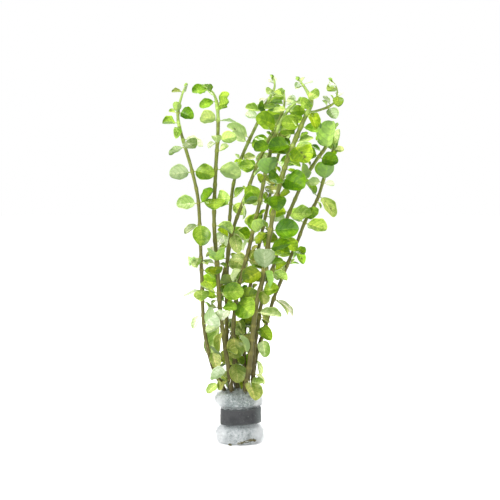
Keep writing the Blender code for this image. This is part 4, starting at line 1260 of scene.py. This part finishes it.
def build_strip(strip, materials):
    """The soft metal ribbon, with the small dents of winding and a lap at the front."""
    skin = Skin(numbers=("strip_edge", "strip_end"))
    half, section = STRIP_WIDTH / 2, strip_section()
    rings, ends = [], []
    for i in range(STRIP_STEPS + 1):
        turned = STRIP_TURNS * i / STRIP_STEPS
        angle = math.radians(STRIP_END_DEG) + 2 * math.pi * (turned - STRIP_TURNS)
        middle_radius = STRIP_FIRST_RADIUS + STRIP_LAP_RISE * turned + STRIP_THICK / 2
        middle = STRIP_MIDDLE + STRIP_TILT * math.cos(angle)
        out = np.array([math.cos(angle), math.sin(angle), 0])
        ring = []
        for across, level in section:
            spot = Vector((math.cos(angle) * 6, math.sin(angle) * 6, level * 0.45 + turned))
            dent = noise.fractal(spot * 0.55, 0.8, 2.1, 3) * strip.dent / MM
            ragged = noise.noise(spot * 1.4 + UP * 9) * strip.ragged / MM * (level / half) ** 7
            reach = middle_radius + across + dent
            ring.append(np.array([STRIP_SHIFT, 0, middle + level + ragged]) + out * reach)
        rings.append(ring)
        ends.append(max(0.0, 1 - min(i, STRIP_STEPS - i) / 4))
    rings = np.array(rings)[::-1]
    edge = np.array([(abs(level) / half) ** 12 for _, level in section])
    skin.add_tube(
        rings, rings[0].mean(axis=0), rings[-1].mean(axis=0), 0,
        strip_edge=np.broadcast_to(edge, rings.shape[:2]),
        strip_end=np.broadcast_to(np.array(ends)[::-1][:, None], rings.shape[:2]),
    )
    return skin.make("metal_strip_wound", materials)


# Scraps of stem that peep out under the wool: (corners of the way, radius).
SCRAPS = [
    (
        [(-0.6, -12.6, 1.3), (1.6, -12.6, 1.7), (4.0, -12.2, 2.1), (6.2, -11.3, 2.6), (8.0, -10.3, 2.7),
         (8.8, -9.6, 2.1)],
        0.62,
    ),
    ([(4.6, -12.0, 2.3), (5.8, -12.2, 2.9), (6.8, -11.9, 3.2)], 0.42),
    ([(6.4, -11.6, 2.4), (7.4, -11.4, 2.9), (8.0, -10.8, 3.2)], 0.4),
    ([(-1.2, -12.9, 0.9), (0.2, -13.1, 1.2), (1.5, -13.0, 1.1)], 0.4),
    ([(-5.9, -13.0, 0.6), (-5.2, -13.4, 0.6), (-4.3, -13.6, 0.45)], 0.45),
]

# Young roots: (foot on the stem, turn, lift, length).
ROOTLETS = [
    ((4.2, -9.6, 34.5), 262, -35, 2.6),
    ((5.0, -10.0, 35.6), 282, -20, 2.2),
    ((5.9, -10.4, 34.9), 300, -45, 2.4),
    ((-4.9, -8.3, 36.2), 250, -50, 3.0),
    ((-1.6, -4.6, 38.0), 275, -60, 2.6),
    ((-12.9, -5.9, 40.3), 300, -55, 2.8),
    ((8.1, 1.2, 45.2), 320, -50, 2.6),
]


def add_scrap(skin, corners, radius, chance):
    """A torn bit of stem along its corners, with a frayed skin, that stays above the table."""
    steps, sides = 8 * len(corners), 12
    ways = np.linspace(0, len(corners) - 1, steps)
    points = np.stack([np.interp(ways, np.arange(len(corners)), corners[:, i]) for i in range(3)], axis=1)
    ends = np.minimum(1, 0.55 + 1.6 * np.minimum(ways, ways[-1] - ways))
    radii = radius * ends * (1 + 0.16 * chance.normal(size=steps))
    rings = tube_rings(list(points), radii, sides, (0, 0, 1))
    rings = rings + 0.22 * radius * chance.normal(size=rings.shape)
    rings[..., 2] = np.maximum(rings[..., 2], 0.05)
    skin.add_tube(rings, rings[0].mean(axis=0), rings[-1].mean(axis=0), 0, scrap=1.0)


def build_scraps(materials):
    """The ragged scraps at the foot and the young white roots low on the stems."""
    skin = Skin(numbers=("scrap",))
    chance = np.random.RandomState(8)
    for corners, radius in SCRAPS:
        add_scrap(skin, np.array(corners), radius, chance)
    for foot, turn, lift, length in ROOTLETS:
        level = math.cos(math.radians(lift))
        heading = np.array(
            [math.cos(math.radians(turn)) * level, math.sin(math.radians(turn)) * level,
             math.sin(math.radians(lift))]
        )
        places = np.linspace(0, 1, 8)
        points = [
            np.array(foot) + heading * length * t + np.array([0.2 * math.sin(5 * t), 0, -0.5 * t * t])
            for t in places
        ]
        radii = 0.16 * (1 - 0.75 * places)
        rings = tube_rings(points, radii, 7, (0, 0, 1) if abs(heading[2]) < 0.8 else (1, 0, 0))
        skin.add_tube(rings, points[0], points[-1], 0, scrap=0.0)
    return skin.make("roots_and_cut_ends", materials)


# Materials. A noise's scale is in lumps a metre, and a zone of the wool or strip in metres.

ALGAE_BROWN = (0.10, 0.11, 0.02)
WOUND_BROWN = (0.045, 0.06, 0.012)
STALK_GREEN = (0.42, 0.52, 0.14)
WOOL_SPARK = (0.92, 0.95, 0.97)
LIT_WOOL = (0.95, 0.965, 0.97)
DUST_GREY = (0.3, 0.32, 0.32)


class Recipe:
    """The nodes of one material, added from the surface's own values towards its shader."""

    def __init__(self, name):
        self.material = bpy.data.materials.new(name)
        self.material.use_nodes = True
        self.tree = self.material.node_tree
        self.shader = self.tree.nodes["Principled BSDF"]
        self.out = self.tree.nodes["Material Output"]

    def put(self, socket, value):
        """Sets a socket to a number or colour, or links it to another node's output."""
        if isinstance(value, bpy.types.NodeSocket):
            self.tree.links.new(value, socket)
        elif socket.type == "RGBA":
            socket.default_value = (*value[:3], 1)
        else:
            socket.default_value = value

    def value(self, name):
        """A named number that is kept on every point of the mesh."""
        node = self.tree.nodes.new("ShaderNodeAttribute")
        node.attribute_name = name
        return node.outputs["Fac"]

    def vector(self, name):
        """A named direction or colour that is kept on every point of the mesh."""
        node = self.tree.nodes.new("ShaderNodeAttribute")
        node.attribute_name = name
        return node.outputs["Vector"]

    def place(self, scale):
        """The surface's own coordinates, times scale."""
        node = self.tree.nodes.new("ShaderNodeTexCoord")
        return self.stretch(node.outputs["Object"], (scale, scale, scale))

    def stretch(self, vector, scale):
        """The vector times a scale for each axis."""
        node = self.tree.nodes.new("ShaderNodeMapping")
        self.put(node.inputs["Vector"], vector)
        node.inputs["Scale"].default_value = scale
        return node.outputs["Vector"]

    def split(self, vector):
        """The X, Y and Z of a vector."""
        node = self.tree.nodes.new("ShaderNodeSeparateXYZ")
        self.put(node.inputs[0], vector)
        return node.outputs

    def times(self, a, b, clamp=False):
        return self.maths("MULTIPLY", a, b, clamp=clamp)

    def maths(self, operation, a, b=0.0, c=0.0, clamp=False):
        node = self.tree.nodes.new("ShaderNodeMath")
        node.operation = operation
        node.use_clamp = clamp
        for socket, value in zip(node.inputs, (a, b, c)):
            self.put(socket, value)
        return node.outputs[0]

    def spread(self, value, low, high, to_low=0.0, to_high=1.0):
        """value between low and high, smoothly made to_low to to_high."""
        node = self.tree.nodes.new("ShaderNodeMapRange")
        node.interpolation_type = "SMOOTHSTEP"
        for name, number in (
            ("Value", value), ("From Min", low), ("From Max", high), ("To Min", to_low), ("To Max", to_high)
        ):
            self.put(node.inputs[name], number)
        return node.outputs["Result"]

    def mix(self, share, low, high, blend="MIX"):
        """The colour low where share is 0, and high blended with it where share is 1."""
        node = self.tree.nodes.new("ShaderNodeMix")
        node.data_type = "RGBA"
        node.blend_type = blend
        colours = [socket for socket in node.inputs if socket.type == "RGBA"]
        self.put(node.inputs["Factor"], share)
        self.put(colours[0], low)
        self.put(colours[1], high)
        return next(socket for socket in node.outputs if socket.type == "RGBA")

    def noise(self, vector, scale, detail, rough, warp=0.0):
        """Smooth noise around 0.5."""
        node = self.tree.nodes.new("ShaderNodeTexNoise")
        self.put(node.inputs["Vector"], vector)
        node.inputs["Scale"].default_value = scale
        node.inputs["Detail"].default_value = detail
        node.inputs["Roughness"].default_value = rough
        node.inputs["Distortion"].default_value = warp
        return node.outputs["Fac"]

    def bump(self, height, depth, strength):
        """Raises the surface by height times depth in metres, in shading only."""
        node = self.tree.nodes.new("ShaderNodeBump")
        node.inputs["Strength"].default_value = strength
        node.inputs["Distance"].default_value = depth
        self.put(node.inputs["Height"], height)
        self.put(self.shader.inputs["Normal"], node.outputs["Normal"])

    def finish(self, colour, roughness, specular, metallic=0.0):
        """The finished material."""
        self.put(self.shader.inputs["Base Color"], colour)
        self.put(self.shader.inputs["Roughness"], roughness)
        self.shader.inputs["Specular IOR Level"].default_value = specular
        self.shader.inputs["Metallic"].default_value = metallic
        return self.material

    def glow_through(self, colour, share):
        """Lets a share of the light pass through the thin surface, in colour."""
        through = self.tree.nodes.new("ShaderNodeBsdfTranslucent")
        both = self.tree.nodes.new("ShaderNodeMixShader")
        self.put(through.inputs["Color"], colour)
        both.inputs["Fac"].default_value = share
        self.tree.links.new(self.shader.outputs[0], both.inputs[1])
        self.tree.links.new(through.outputs[0], both.inputs[2])
        self.tree.links.new(both.outputs[0], self.out.inputs["Surface"])


def vein_lines(recipe, along, wide, shift, power):
    """Thin arched lines from the midrib to the rim, moved along the blade by shift of a line's turn."""
    arc = recipe.times(recipe.maths("POWER", wide, VEIN_BEND), VEIN_ARCH)
    past = recipe.maths("SUBTRACT", along, arc)
    turns = recipe.maths("MULTIPLY_ADD", past, VEIN_PAIRS * 2 * math.pi, shift)
    wave = recipe.maths("MULTIPLY_ADD", recipe.maths("COSINE", turns), 0.5, 0.5)
    line = recipe.maths("POWER", wave, power)
    line = recipe.times(line, recipe.spread(wide, 0.72, 0.98, 1.0, 0.0))
    return recipe.times(line, recipe.spread(along, 0.02, 0.12))


def tinted(recipe, share, colour, gain):
    """colour, and where share is 1 that colour times gain."""
    return recipe.mix(share, colour, recipe.mix(1.0, colour, gain, "MULTIPLY"))


def by_paleness(recipe, colour, green, pale):
    """colour times green, or times pale where the blade's own tint is pale."""
    paleness = recipe.spread(recipe.split(recipe.vector("tint"))["Z"], 0.12, 0.5)
    return recipe.mix(1.0, colour, recipe.mix(paleness, green, pale), "MULTIPLY")


def blade_colour(recipe, vein_gain):
    """The mottled green of a blade, with painted light and shade on its halves, veins with a painted shade
    line beside each, a darker band inside a rim with a painted highlight, and a yellow-green stalk.
    """
    along = recipe.value("blade_along")
    wide = recipe.maths("ABSOLUTE", recipe.value("blade_across"))
    tint = recipe.vector("tint")
    place = recipe.place(1.0)
    cloud = recipe.noise(place, 260.0, 3.0, 0.6, 0.6)
    cells = recipe.noise(place, 2000.0, 2.0, 0.6)
    patch = recipe.spread(cloud, 0.3, 0.7, -0.38, 0.38)
    share = recipe.maths("ADD", recipe.value("sunny"), patch, clamp=True)
    # Painted light and shade: the share picks between painted shaded and painted lit copies of the tint,
    # mottled by a random cloud. A lit green blade brightens towards yellow, a pale one less, and towards
    # white.
    painted_shade = by_paleness(recipe, tint, (0.51, 0.59, 0.19), (0.64, 0.71, 0.44))
    sunny = by_paleness(recipe, tint, (1.56, 1.28, 1.4), (1.34, 1.16, 1.5))
    colour = recipe.mix(share, painted_shade, sunny)
    colour = tinted(recipe, recipe.spread(cells, 0.5, 0.3), colour, (0.78, 0.84, 0.75))
    # A painted shade line beside each vein makes it look pressed in.
    painted_vein_shade = vein_lines(recipe, along, wide, 0.75, 4.0)
    colour = tinted(recipe, recipe.times(painted_vein_shade, 0.75), colour, (0.62, 0.72, 0.5))
    veins = vein_lines(recipe, along, wide, 0.0, 7.0)
    midrib = recipe.spread(wide, 0.02, 0.1, 1.0, 0.0)
    midrib = recipe.times(midrib, recipe.spread(along, 0.7, 0.95, 1.0, 0.15))
    veins = recipe.maths("MAXIMUM", recipe.times(veins, 0.7), midrib)
    colour = tinted(recipe, recipe.times(veins, 0.85), colour, vein_gain)
    # A darker band inside the rim, and a painted highlight along the rim itself.
    band = recipe.times(recipe.spread(wide, 0.6, 0.84), recipe.spread(wide, 0.98, 0.86))
    colour = tinted(recipe, recipe.times(band, 0.55), colour, (0.66, 0.76, 0.5))
    colour = tinted(recipe, recipe.spread(wide, 0.88, 0.99, 0.0, 0.7), colour, (1.5, 1.35, 1.6))
    stalk = recipe.spread(along, -0.06, 0.05, 0.8, 0.0)
    return recipe.mix(stalk, colour, STALK_GREEN)


def old_spots(recipe, colour):
    """Small brown algae spots that come with a leaf's age, and its dark wounds."""
    specks = recipe.noise(recipe.place(1.0), 1500.0, 3.0, 0.65)
    age = recipe.value("age")
    share = recipe.times(recipe.spread(specks, 0.6, 0.72), recipe.spread(age, 0.55, 0.95, 0.0, 0.75))
    colour = recipe.mix(share, colour, ALGAE_BROWN)
    return recipe.mix(recipe.times(recipe.value("wound"), 0.9), colour, WOUND_BROWN)


def leaf_upper(blades):
    """The satin upper side, with bright veins."""
    recipe = Recipe("leaf_upper_side")
    colour = blade_colour(recipe, (1.7, 1.4, 2.2))
    colour = old_spots(recipe, colour)
    cells = recipe.noise(recipe.place(1.0), 3200.0, 2.0, 0.5)
    rough = recipe.spread(cells, 0.3, 0.7, 0.24, 0.4)
    recipe.bump(cells, 0.00006, 0.35)
    recipe.finish(colour, rough, 0.45)
    lit = by_paleness(recipe, colour, (1.27, 1.2, 0.5), (1.15, 1.10, 0.88))
    recipe.glow_through(lit, blades.see_through)
    return recipe.material


def leaf_under(blades):
    """The duller underside, with a pale bloom."""
    recipe = Recipe("leaf_underside")
    colour = blade_colour(recipe, (1.35, 1.2, 1.5))
    colour = recipe.mix(0.22, colour, blades.under_bloom)
    colour = old_spots(recipe, colour)
    cells = recipe.noise(recipe.place(1.0), 3000.0, 2.0, 0.5)
    recipe.bump(cells, 0.00006, 0.3)
    recipe.finish(colour, recipe.spread(cells, 0.3, 0.7, 0.45, 0.6), 0.35)
    lit = by_paleness(recipe, colour, (1.18, 1.15, 0.58), (1.13, 1.08, 0.88))
    recipe.glow_through(lit, blades.see_through)
    return recipe.material


def stem_skin(stems):
    """Olive stems: browner at the foot, greener at the tip, streaked, with a pale ring at each joint."""
    recipe = Recipe("stem_skin")
    rise, joint = recipe.value("stem_rise"), recipe.value("stem_joint")
    grain = recipe.vector("grain")
    streaks = recipe.noise(recipe.stretch(grain, (1.0, 1.0, 0.5)), 7.0, 4.0, 0.6)
    blotch = recipe.noise(recipe.place(1.0), 160.0, 3.0, 0.55)
    height = recipe.maths("MULTIPLY_ADD", blotch, 0.5, recipe.maths("SUBTRACT", rise, 0.25))
    colour = recipe.mix(recipe.spread(height, 0.05, 0.4), stems.foot_colour, stems.low_colour)
    colour = recipe.mix(recipe.spread(height, 0.45, 0.85), colour, stems.high_colour)
    colour = recipe.mix(recipe.spread(height, 0.82, 0.97), colour, stems.tip_colour)
    colour = tinted(recipe, recipe.spread(streaks, 0.42, 0.66, 0.0, 0.85), colour, (0.42, 0.42, 0.3))
    colour = tinted(recipe, recipe.spread(streaks, 0.45, 0.3, 0.0, 0.6), colour, (1.5, 1.5, 1.4))
    colour = tinted(recipe, recipe.times(joint, 0.75), colour, (1.6, 1.6, 1.3))
    recipe.bump(streaks, 0.00008, 0.5)
    recipe.finish(colour, recipe.spread(streaks, 0.3, 0.7, 0.3, 0.5), 0.22)
    lit = recipe.mix(1.0, colour, (1.3, 1.35, 0.8), "MULTIPLY")
    recipe.glow_through(lit, 0.12)
    return recipe.material


def wool_finish(name, wool, deep_share, greyness):
    """Grained, bluish white mineral wool, greyer round the strip and green-grey where the stems leave it,
    with painted shade in its hollows and under the strip and painted light on its curls and flanks.

    deep_share is how strongly the painted shade of the hollows darkens it (on the fibres it scales a random
    tone of each fibre), and greyness how strong its grey zones are.
    """
    recipe = Recipe(name)
    place = recipe.place(1.0)
    fine = recipe.noise(place, 900.0, 4.0, 0.65)
    cloud = recipe.noise(place, 140.0, 3.0, 0.55)
    grain = recipe.noise(place, 1500.0, 2.0, 0.55)
    # The painted shade of the hollows comes in with deep.
    deep = recipe.times(recipe.value("deep"), deep_share)
    share = recipe.maths("MULTIPLY_ADD", recipe.spread(fine, 0.35, 0.7), 0.5, deep)
    colour = recipe.mix(recipe.times(share, 0.8, clamp=True), wool.light, wool.shade)
    colour = recipe.mix(recipe.spread(cloud, 0.5, 0.75, 0.0, 0.35), colour, wool.shade)
    aside, _, height = recipe.split(place)
    # The wool is greyer just under the strip, a painted shade of the strip, and all the way above it, and
    # stained at its crown.
    patches = recipe.spread(cloud, 0.3, 0.7, 0.45, 1.0)
    low = recipe.times(recipe.spread(height, 0.005, 0.011, 0.0, greyness), patches)
    colour = tinted(recipe, low, colour, (0.66, 0.69, 0.69))
    high = recipe.spread(height, 0.018, 0.022, 0.0, 0.75 * greyness)
    colour = tinted(recipe, high, colour, (0.55, 0.60, 0.58))
    crown = recipe.spread(height, 0.0255, 0.0295, 0.0, 0.6)
    crown = recipe.times(crown, recipe.spread(cloud, 0.3, 0.6, 0.4, 1.0))
    colour = recipe.mix(crown, colour, wool.stain)
    specks = recipe.spread(grain, 0.57, 0.66, 0.0, 0.7 * greyness)
    colour = tinted(recipe, specks, colour, (0.5, 0.55, 0.55))
    colour = recipe.mix(recipe.spread(grain, 0.42, 0.33, 0.0, 0.55), colour, WOOL_SPARK)
    # Small curls of wool get a painted highlight, with painted shade in the hollows between them.
    curls = recipe.noise(place, 620.0, 3.0, 0.6)
    painted_hollow_shade = recipe.spread(curls, 0.5, 0.6, 0.0, 0.8 * greyness)
    colour = tinted(recipe, painted_hollow_shade, colour, (0.6, 0.64, 0.63))
    colour = recipe.mix(recipe.spread(curls, 0.46, 0.36, 0.0, 0.6), colour, LIT_WOOL)
    # The plug's two flanks left and right are painted whiter: painted light, as of light through the loose
    # wool at its edges.
    painted_flank_light = recipe.spread(recipe.maths("ABSOLUTE", aside), 0.0058, 0.0112, 0.0, 0.88)
    colour = recipe.mix(painted_flank_light, colour, LIT_WOOL)
    recipe.finish(colour, 0.7, 0.3)
    recipe.glow_through(colour, 0.4)
    return recipe.material


def dull_metal(strip):
    """Soft grey metal, dull and dusted, worn brighter along its edges and at its cut ends, with a painted
    sheen on its right side.
    """
    recipe = Recipe("dull_grey_metal")
    edge, end = recipe.value("strip_edge"), recipe.value("strip_end")
    place = recipe.place(1.0)
    cloud = recipe.noise(place, 220.0, 4.0, 0.6)
    grit = recipe.noise(place, 2300.0, 2.0, 0.7)
    dust = recipe.noise(place, 1300.0, 1.0, 0.5)
    colour = recipe.mix(recipe.spread(cloud, 0.3, 0.7), strip.dark, strip.grey)
    colour = recipe.mix(recipe.spread(grit, 0.52, 0.72, 0.0, 0.3), colour, strip.worn)
    colour = recipe.mix(recipe.spread(dust, 0.68, 0.76, 0.0, 0.5), colour, DUST_GREY)
    # The right side is painted lighter in the worn grey: a painted sheen.
    painted_sheen = recipe.spread(recipe.split(place)["X"], 0.0075, 0.0125, 0.0, 0.8)
    colour = recipe.mix(painted_sheen, colour, strip.worn)
    worn = recipe.maths("MAXIMUM", recipe.times(edge, 0.6), end)
    colour = recipe.mix(recipe.times(worn, 0.8), colour, strip.worn)
    recipe.bump(grit, 0.00012, 0.5)
    recipe.finish(colour, recipe.spread(cloud, 0.3, 0.7, 0.5, 0.72), 0.3, 0.2)
    return recipe.material


def root_finish():
    """White young roots and brown cut ends."""
    recipe = Recipe("root_and_cut_end")
    streaks = recipe.noise(recipe.place(1.0), 1200.0, 4.0, 0.65)
    brown = recipe.mix(recipe.spread(streaks, 0.35, 0.65), (0.055, 0.045, 0.018), (0.21, 0.19, 0.09))
    white = recipe.mix(recipe.spread(streaks, 0.35, 0.65), (0.75, 0.74, 0.66), (0.86, 0.84, 0.78))
    recipe.bump(streaks, 0.0001, 0.4)
    return recipe.finish(recipe.mix(recipe.value("scrap"), white, brown), 0.6, 0.35)


def studio_white(stage):
    """The studio's pale floor, very faintly uneven."""
    recipe = Recipe("studio_white")
    cloud = recipe.noise(recipe.place(1.0), 3.0, 2.0, 0.5)
    white = tuple(stage.floor)
    dimmer = tuple(channel * 0.985 for channel in white)
    recipe.shader.inputs["Emission Color"].default_value = (1, 1, 1, 1)
    recipe.shader.inputs["Emission Strength"].default_value = stage.floor_glow
    return recipe.finish(recipe.mix(cloud, white, dimmer), 0.9, 0.0)


# Settings, operators and panel.


def plain_setting(name, description, default, unit="NONE"):
    return bpy.props.FloatProperty(
        name=name, description=description, default=default, min=0.0, unit=unit
    )


def length_setting(name, description, default):
    return plain_setting(name, description, default, "LENGTH")


def count_setting(name, description, default, least, most):
    return bpy.props.IntProperty(
        name=name, description=description, default=default, min=least, max=most
    )


def colour_setting(name, description, default):
    return bpy.props.FloatVectorProperty(
        name=name, description=description, default=default, subtype="COLOR", min=0.0, max=1.0
    )


def share_setting(name, description, default):
    return bpy.props.FloatProperty(
        name=name, description=description, default=default, min=0.0, max=1.0, subtype="FACTOR"
    )


class RotalaStems(bpy.types.PropertyGroup):
    """Sizes and colours of the stems."""

    sides: count_setting("Sides", "Sides of a stem", 16, 6, 48)
    rib_depth: share_setting("Ribs", "Depth of the lengthwise ribs, as a share of the radius", 0.035)
    joint_swell: share_setting("Joint swelling", "How far a stem swells at a joint", 0.2)
    joint_spacing: length_setting("Joint spacing", "Distance between the bare joints", 0.013)
    foot_colour: colour_setting("Foot", "Brown of the oldest stretch", (0.084, 0.065, 0.024))
    low_colour: colour_setting("Lower stretch", "Brownish olive of the lower stems", (0.172, 0.165, 0.047))
    high_colour: colour_setting("Upper stretch", "Olive of the upper stems", (0.225, 0.275, 0.055))
    tip_colour: colour_setting("Tip", "Young green of the tips", (0.42, 0.58, 0.16))


class RotalaBlades(bpy.types.PropertyGroup):
    """Sizes and colours of the leaves."""

    rows: count_setting("Rows", "Rows of points along a blade", 24, 8, 60)
    thickness: length_setting("Thickness", "Thickness of a blade", 0.00028)
    vein_depth: length_setting("Vein depth", "Depth of the veins in the upper side", 0.00008)
    see_through: share_setting("Translucency", "Share of the light that passes through a blade's skin", 0.42)
    under_bloom: colour_setting("Underside bloom", "Pale bloom of the undersides", (0.60, 0.76, 0.50))
    # The tones are leaf colours and partly painted light and shade as well: lime and misty stand for lit
    # leaves and deep for shaded ones, and some leaves take a paler tone where they lie in shade and a darker
    # one where the light is strong.
    deep: colour_setting("Deep green", "Shaded old leaves", (0.158, 0.360, 0.005))
    green: colour_setting("Green", "Plain leaves", (0.288, 0.502, 0.045))
    lime: colour_setting("Lime", "Strongly lit leaves", (0.365, 0.590, 0.026))
    bright: colour_setting("Bright", "Yellow-green leaves", (0.378, 0.618, 0.084))
    fresh: colour_setting("Fresh", "Light leaves", (0.465, 0.670, 0.200))
    pale: colour_setting("Pale", "Pale leaves", (0.602, 0.775, 0.380))
    mint: colour_setting("Mint", "Palest, whitish leaves", (0.680, 0.805, 0.565))
    misty: colour_setting("Misty", "Grey-green leaves that face the light", (0.335, 0.476, 0.238))
    straw: colour_setting("Straw", "Faded lower leaves", (0.500, 0.660, 0.260))
    olive: colour_setting("Olive", "Dull lower leaves", (0.352, 0.462, 0.114))
    moss: colour_setting("Moss", "Dark lower leaves", (0.213, 0.345, 0.011))


class RotalaWool(bpy.types.PropertyGroup):
    """Sizes and colours of the wool plug."""

    fibres: count_setting("Fibres", "Loose fibres", 3200, 0, 3400)
    fibre_radius: length_setting("Fibre radius", "Radius of the thickest fibre", 0.00007)
    fuzz: length_setting("Fuzz", "How far the loosest fibres stand off", 0.0021)
    clump: length_setting("Clumps", "Height of the wool's clumps", 0.0008)
    tuft: length_setting("Tufts", "Height of the wool's small tufts", 0.0010)
    light: colour_setting("Light", "Bluish white of the wool", (0.91, 0.935, 0.945))
    shade: colour_setting("Shade", "Grey of the wool's hollows", (0.60, 0.65, 0.66))
    stain: colour_setting("Stain", "Green-grey stain round the stems", (0.40, 0.44, 0.36))


class RotalaStrip(bpy.types.PropertyGroup):
    """Sizes and colours of the metal strip."""

    dent: length_setting("Dents", "Height of the strip's dents", 0.00016)
    ragged: length_setting("Ragged edge", "How far the strip's edges wander", 0.00025)
    dark: colour_setting("Dark", "Darkest grey of the strip", (0.026, 0.027, 0.029))
    grey: colour_setting("Grey", "Middle grey of the strip", (0.052, 0.052, 0.055))
    worn: colour_setting("Worn", "Grey of the worn edges", (0.115, 0.135, 0.130))


class RotalaStudio(bpy.types.PropertyGroup):
    """The floor and the lights."""

    floor: colour_setting("Floor", "Colour of the floor", (0.94, 0.94, 0.94))
    floor_glow: plain_setting("Floor glow", "Light of the lit floor", 0.12)
    floor_radius: length_setting("Floor radius", "Radius of the floor", 6.0)
    sky: plain_setting("Room light", "Strength of the white room", 1.0)
    key: plain_setting("Key light", "Power of the key light", 15.0, "POWER")
    back: plain_setting("Back light", "Power of the back light", 12.0, "POWER")


class ROTALA_OT_leafy_stems(bpy.types.Operator):
    """Build the nine leafy stems and the side stem with their leaves"""

    bl_idname = "rotala.leafy_stems"
    bl_label = "Leafy stems"

    def execute(self, context):
        stems, blades = context.scene.rotala_stems, context.scene.rotala_blades
        materials = [stem_skin(stems), leaf_upper(blades), leaf_under(blades)]
        for number, (name, (line, leaves)) in enumerate(lay_out().items()):
            shoot = build_shoot(name, number, line, leaves, stems, blades, materials)
            hand_over(shoot, name)
        return {"FINISHED"}


class ROTALA_OT_roots_and_ends(bpy.types.Operator):
    """Build the young roots low on the stems and the cut ends at the foot"""

    bl_idname = "rotala.roots_and_ends"
    bl_label = "Roots and cut ends"

    def execute(self, context):
        hand_over(build_scraps([root_finish()]))
        return {"FINISHED"}


class ROTALA_OT_wool_plug(bpy.types.Operator):
    """Build the mineral wool plug and its loose fibres"""

    bl_idname = "rotala.wool_plug"
    bl_label = "Wool plug"

    def execute(self, context):
        wool = context.scene.rotala_wool
        materials = [
            wool_finish("mineral_wool", wool, 0.9, 1.0),
            wool_finish("mineral_wool_fibre", wool, 0.3, 0.45),
        ]
        hand_over(build_wool(wool, materials), "wool_plug")
        hand_over(build_fibres(wool, materials))
        return {"FINISHED"}


class ROTALA_OT_metal_strip(bpy.types.Operator):
    """Build the soft metal strip wound round the wool"""

    bl_idname = "rotala.metal_strip"
    bl_label = "Metal strip"

    def execute(self, context):
        strip = context.scene.rotala_strip
        hand_over(build_strip(strip, [dull_metal(strip)]), "metal_strip")
        return {"FINISHED"}


class ROTALA_OT_studio(bpy.types.Operator):
    """Build the white floor, the soft lights and the camera"""

    bl_idname = "rotala.studio"
    bl_label = "Studio"

    def execute(self, context):
        studio = context.scene.rotala_studio
        build_floor(studio)
        add_light("key_light", KEY_PLACE, KEY_SIZE, studio.key)
        add_light("back_light", BACK_PLACE, BACK_SIZE, studio.back)
        light_room(studio)
        aim_camera()
        context.scene.view_settings.view_transform = "Standard"
        return {"FINISHED"}


def hand_over(piece, node=None):
    """Lets the piece ride on the bunch's one body, and hides the solid that it stands for."""
    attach(piece, "root")
    if node:
        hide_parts(node)


FLOOR_SIDES = 96
FLOOR_HEIGHT = -0.0001
KEY_PLACE = (-0.75, -0.85, 0.95)
KEY_SIZE = 0.7
BACK_PLACE = (0.45, 0.85, 0.85)
BACK_SIZE = 0.6
SENSOR_MM = 36


def build_floor(studio):
    """A wide round floor, a hair under the plug so that it doesn't cut through the wool."""
    turns = [2 * math.pi * k / FLOOR_SIDES for k in range(FLOOR_SIDES)]
    radius = studio.floor_radius
    points = [(radius * math.cos(t), radius * math.sin(t), FLOOR_HEIGHT) for t in turns]
    mesh = bpy.data.meshes.new("studio_floor")
    mesh.from_pydata(points, [], [tuple(range(FLOOR_SIDES))])
    mesh.materials.append(studio_white(studio))
    floor = add_object("studio_floor", mesh)


def point_at(obj, place, target):
    """Puts a lamp or camera at its place and turns it to the target."""
    obj.location = place
    obj.rotation_euler = (Vector(target) - Vector(place)).to_track_quat("-Z", "Y").to_euler()


def add_light(name, place, size, power):
    """A square soft light, turned to the bunch's middle."""
    lamp = bpy.data.lights.new(name, "AREA")
    lamp.size = size
    lamp.energy = power
    point_at(add_object(name, lamp), place, AIM)


def light_room(studio):
    """White light from all round."""
    world = bpy.data.worlds.new("white_room")
    world.use_nodes = True
    background = world.node_tree.nodes["Background"]
    background.inputs["Color"].default_value = (1, 1, 1, 1)
    background.inputs["Strength"].default_value = studio.sky
    bpy.context.scene.world = world


def aim_camera():
    """The photograph's view: level with the bunch's middle and a little above it."""
    data = bpy.data.cameras.new("photo_camera")
    data.sensor_width = SENSOR_MM
    data.lens = SENSOR_MM * CAMERA_DISTANCE / FRAME_WIDTH
    camera = add_object("photo_camera", data)
    rise = math.radians(CAMERA_RISE_DEG)
    point_at(camera, AIM + Vector((0, -math.cos(rise), math.sin(rise))) * CAMERA_DISTANCE, AIM)
    bpy.context.scene.camera = camera


STEPS = (
    ROTALA_OT_studio,
    ROTALA_OT_leafy_stems,
    ROTALA_OT_roots_and_ends,
    ROTALA_OT_wool_plug,
    ROTALA_OT_metal_strip,
)
SETTINGS = {
    "rotala_stems": RotalaStems,
    "rotala_blades": RotalaBlades,
    "rotala_wool": RotalaWool,
    "rotala_strip": RotalaStrip,
    "rotala_studio": RotalaStudio,
}


class ROTALA_PT_bunch(bpy.types.Panel):
    """The bunch's operators and settings"""

    bl_idname = "ROTALA_PT_bunch"
    bl_label = "Rotala bunch"
    bl_space_type = "VIEW_3D"
    bl_region_type = "UI"
    bl_category = "Rotala"

    def draw(self, context):
        for step in STEPS:
            self.layout.operator(step.bl_idname)
        for name in SETTINGS:
            box = self.layout.box()
            group = getattr(context.scene, name)
            for setting in group.__annotations__:
                box.prop(group, setting)


def register():
    for cls in (*SETTINGS.values(), *STEPS, ROTALA_PT_bunch):
        bpy.utils.register_class(cls)
    for name, cls in SETTINGS.items():
        setattr(bpy.types.Scene, name, bpy.props.PointerProperty(type=cls))


def unregister():
    for name in SETTINGS:
        delattr(bpy.types.Scene, name)
    for cls in (ROTALA_PT_bunch, *reversed(STEPS), *SETTINGS.values()):
        bpy.utils.unregister_class(cls)


def main():
    register()
    bpy.ops.rotala.studio()
    bpy.ops.rotala.leafy_stems()
    bpy.ops.rotala.roots_and_ends()
    bpy.ops.rotala.wool_plug()
    bpy.ops.rotala.metal_strip()


if __name__ == "__main__":
    main()
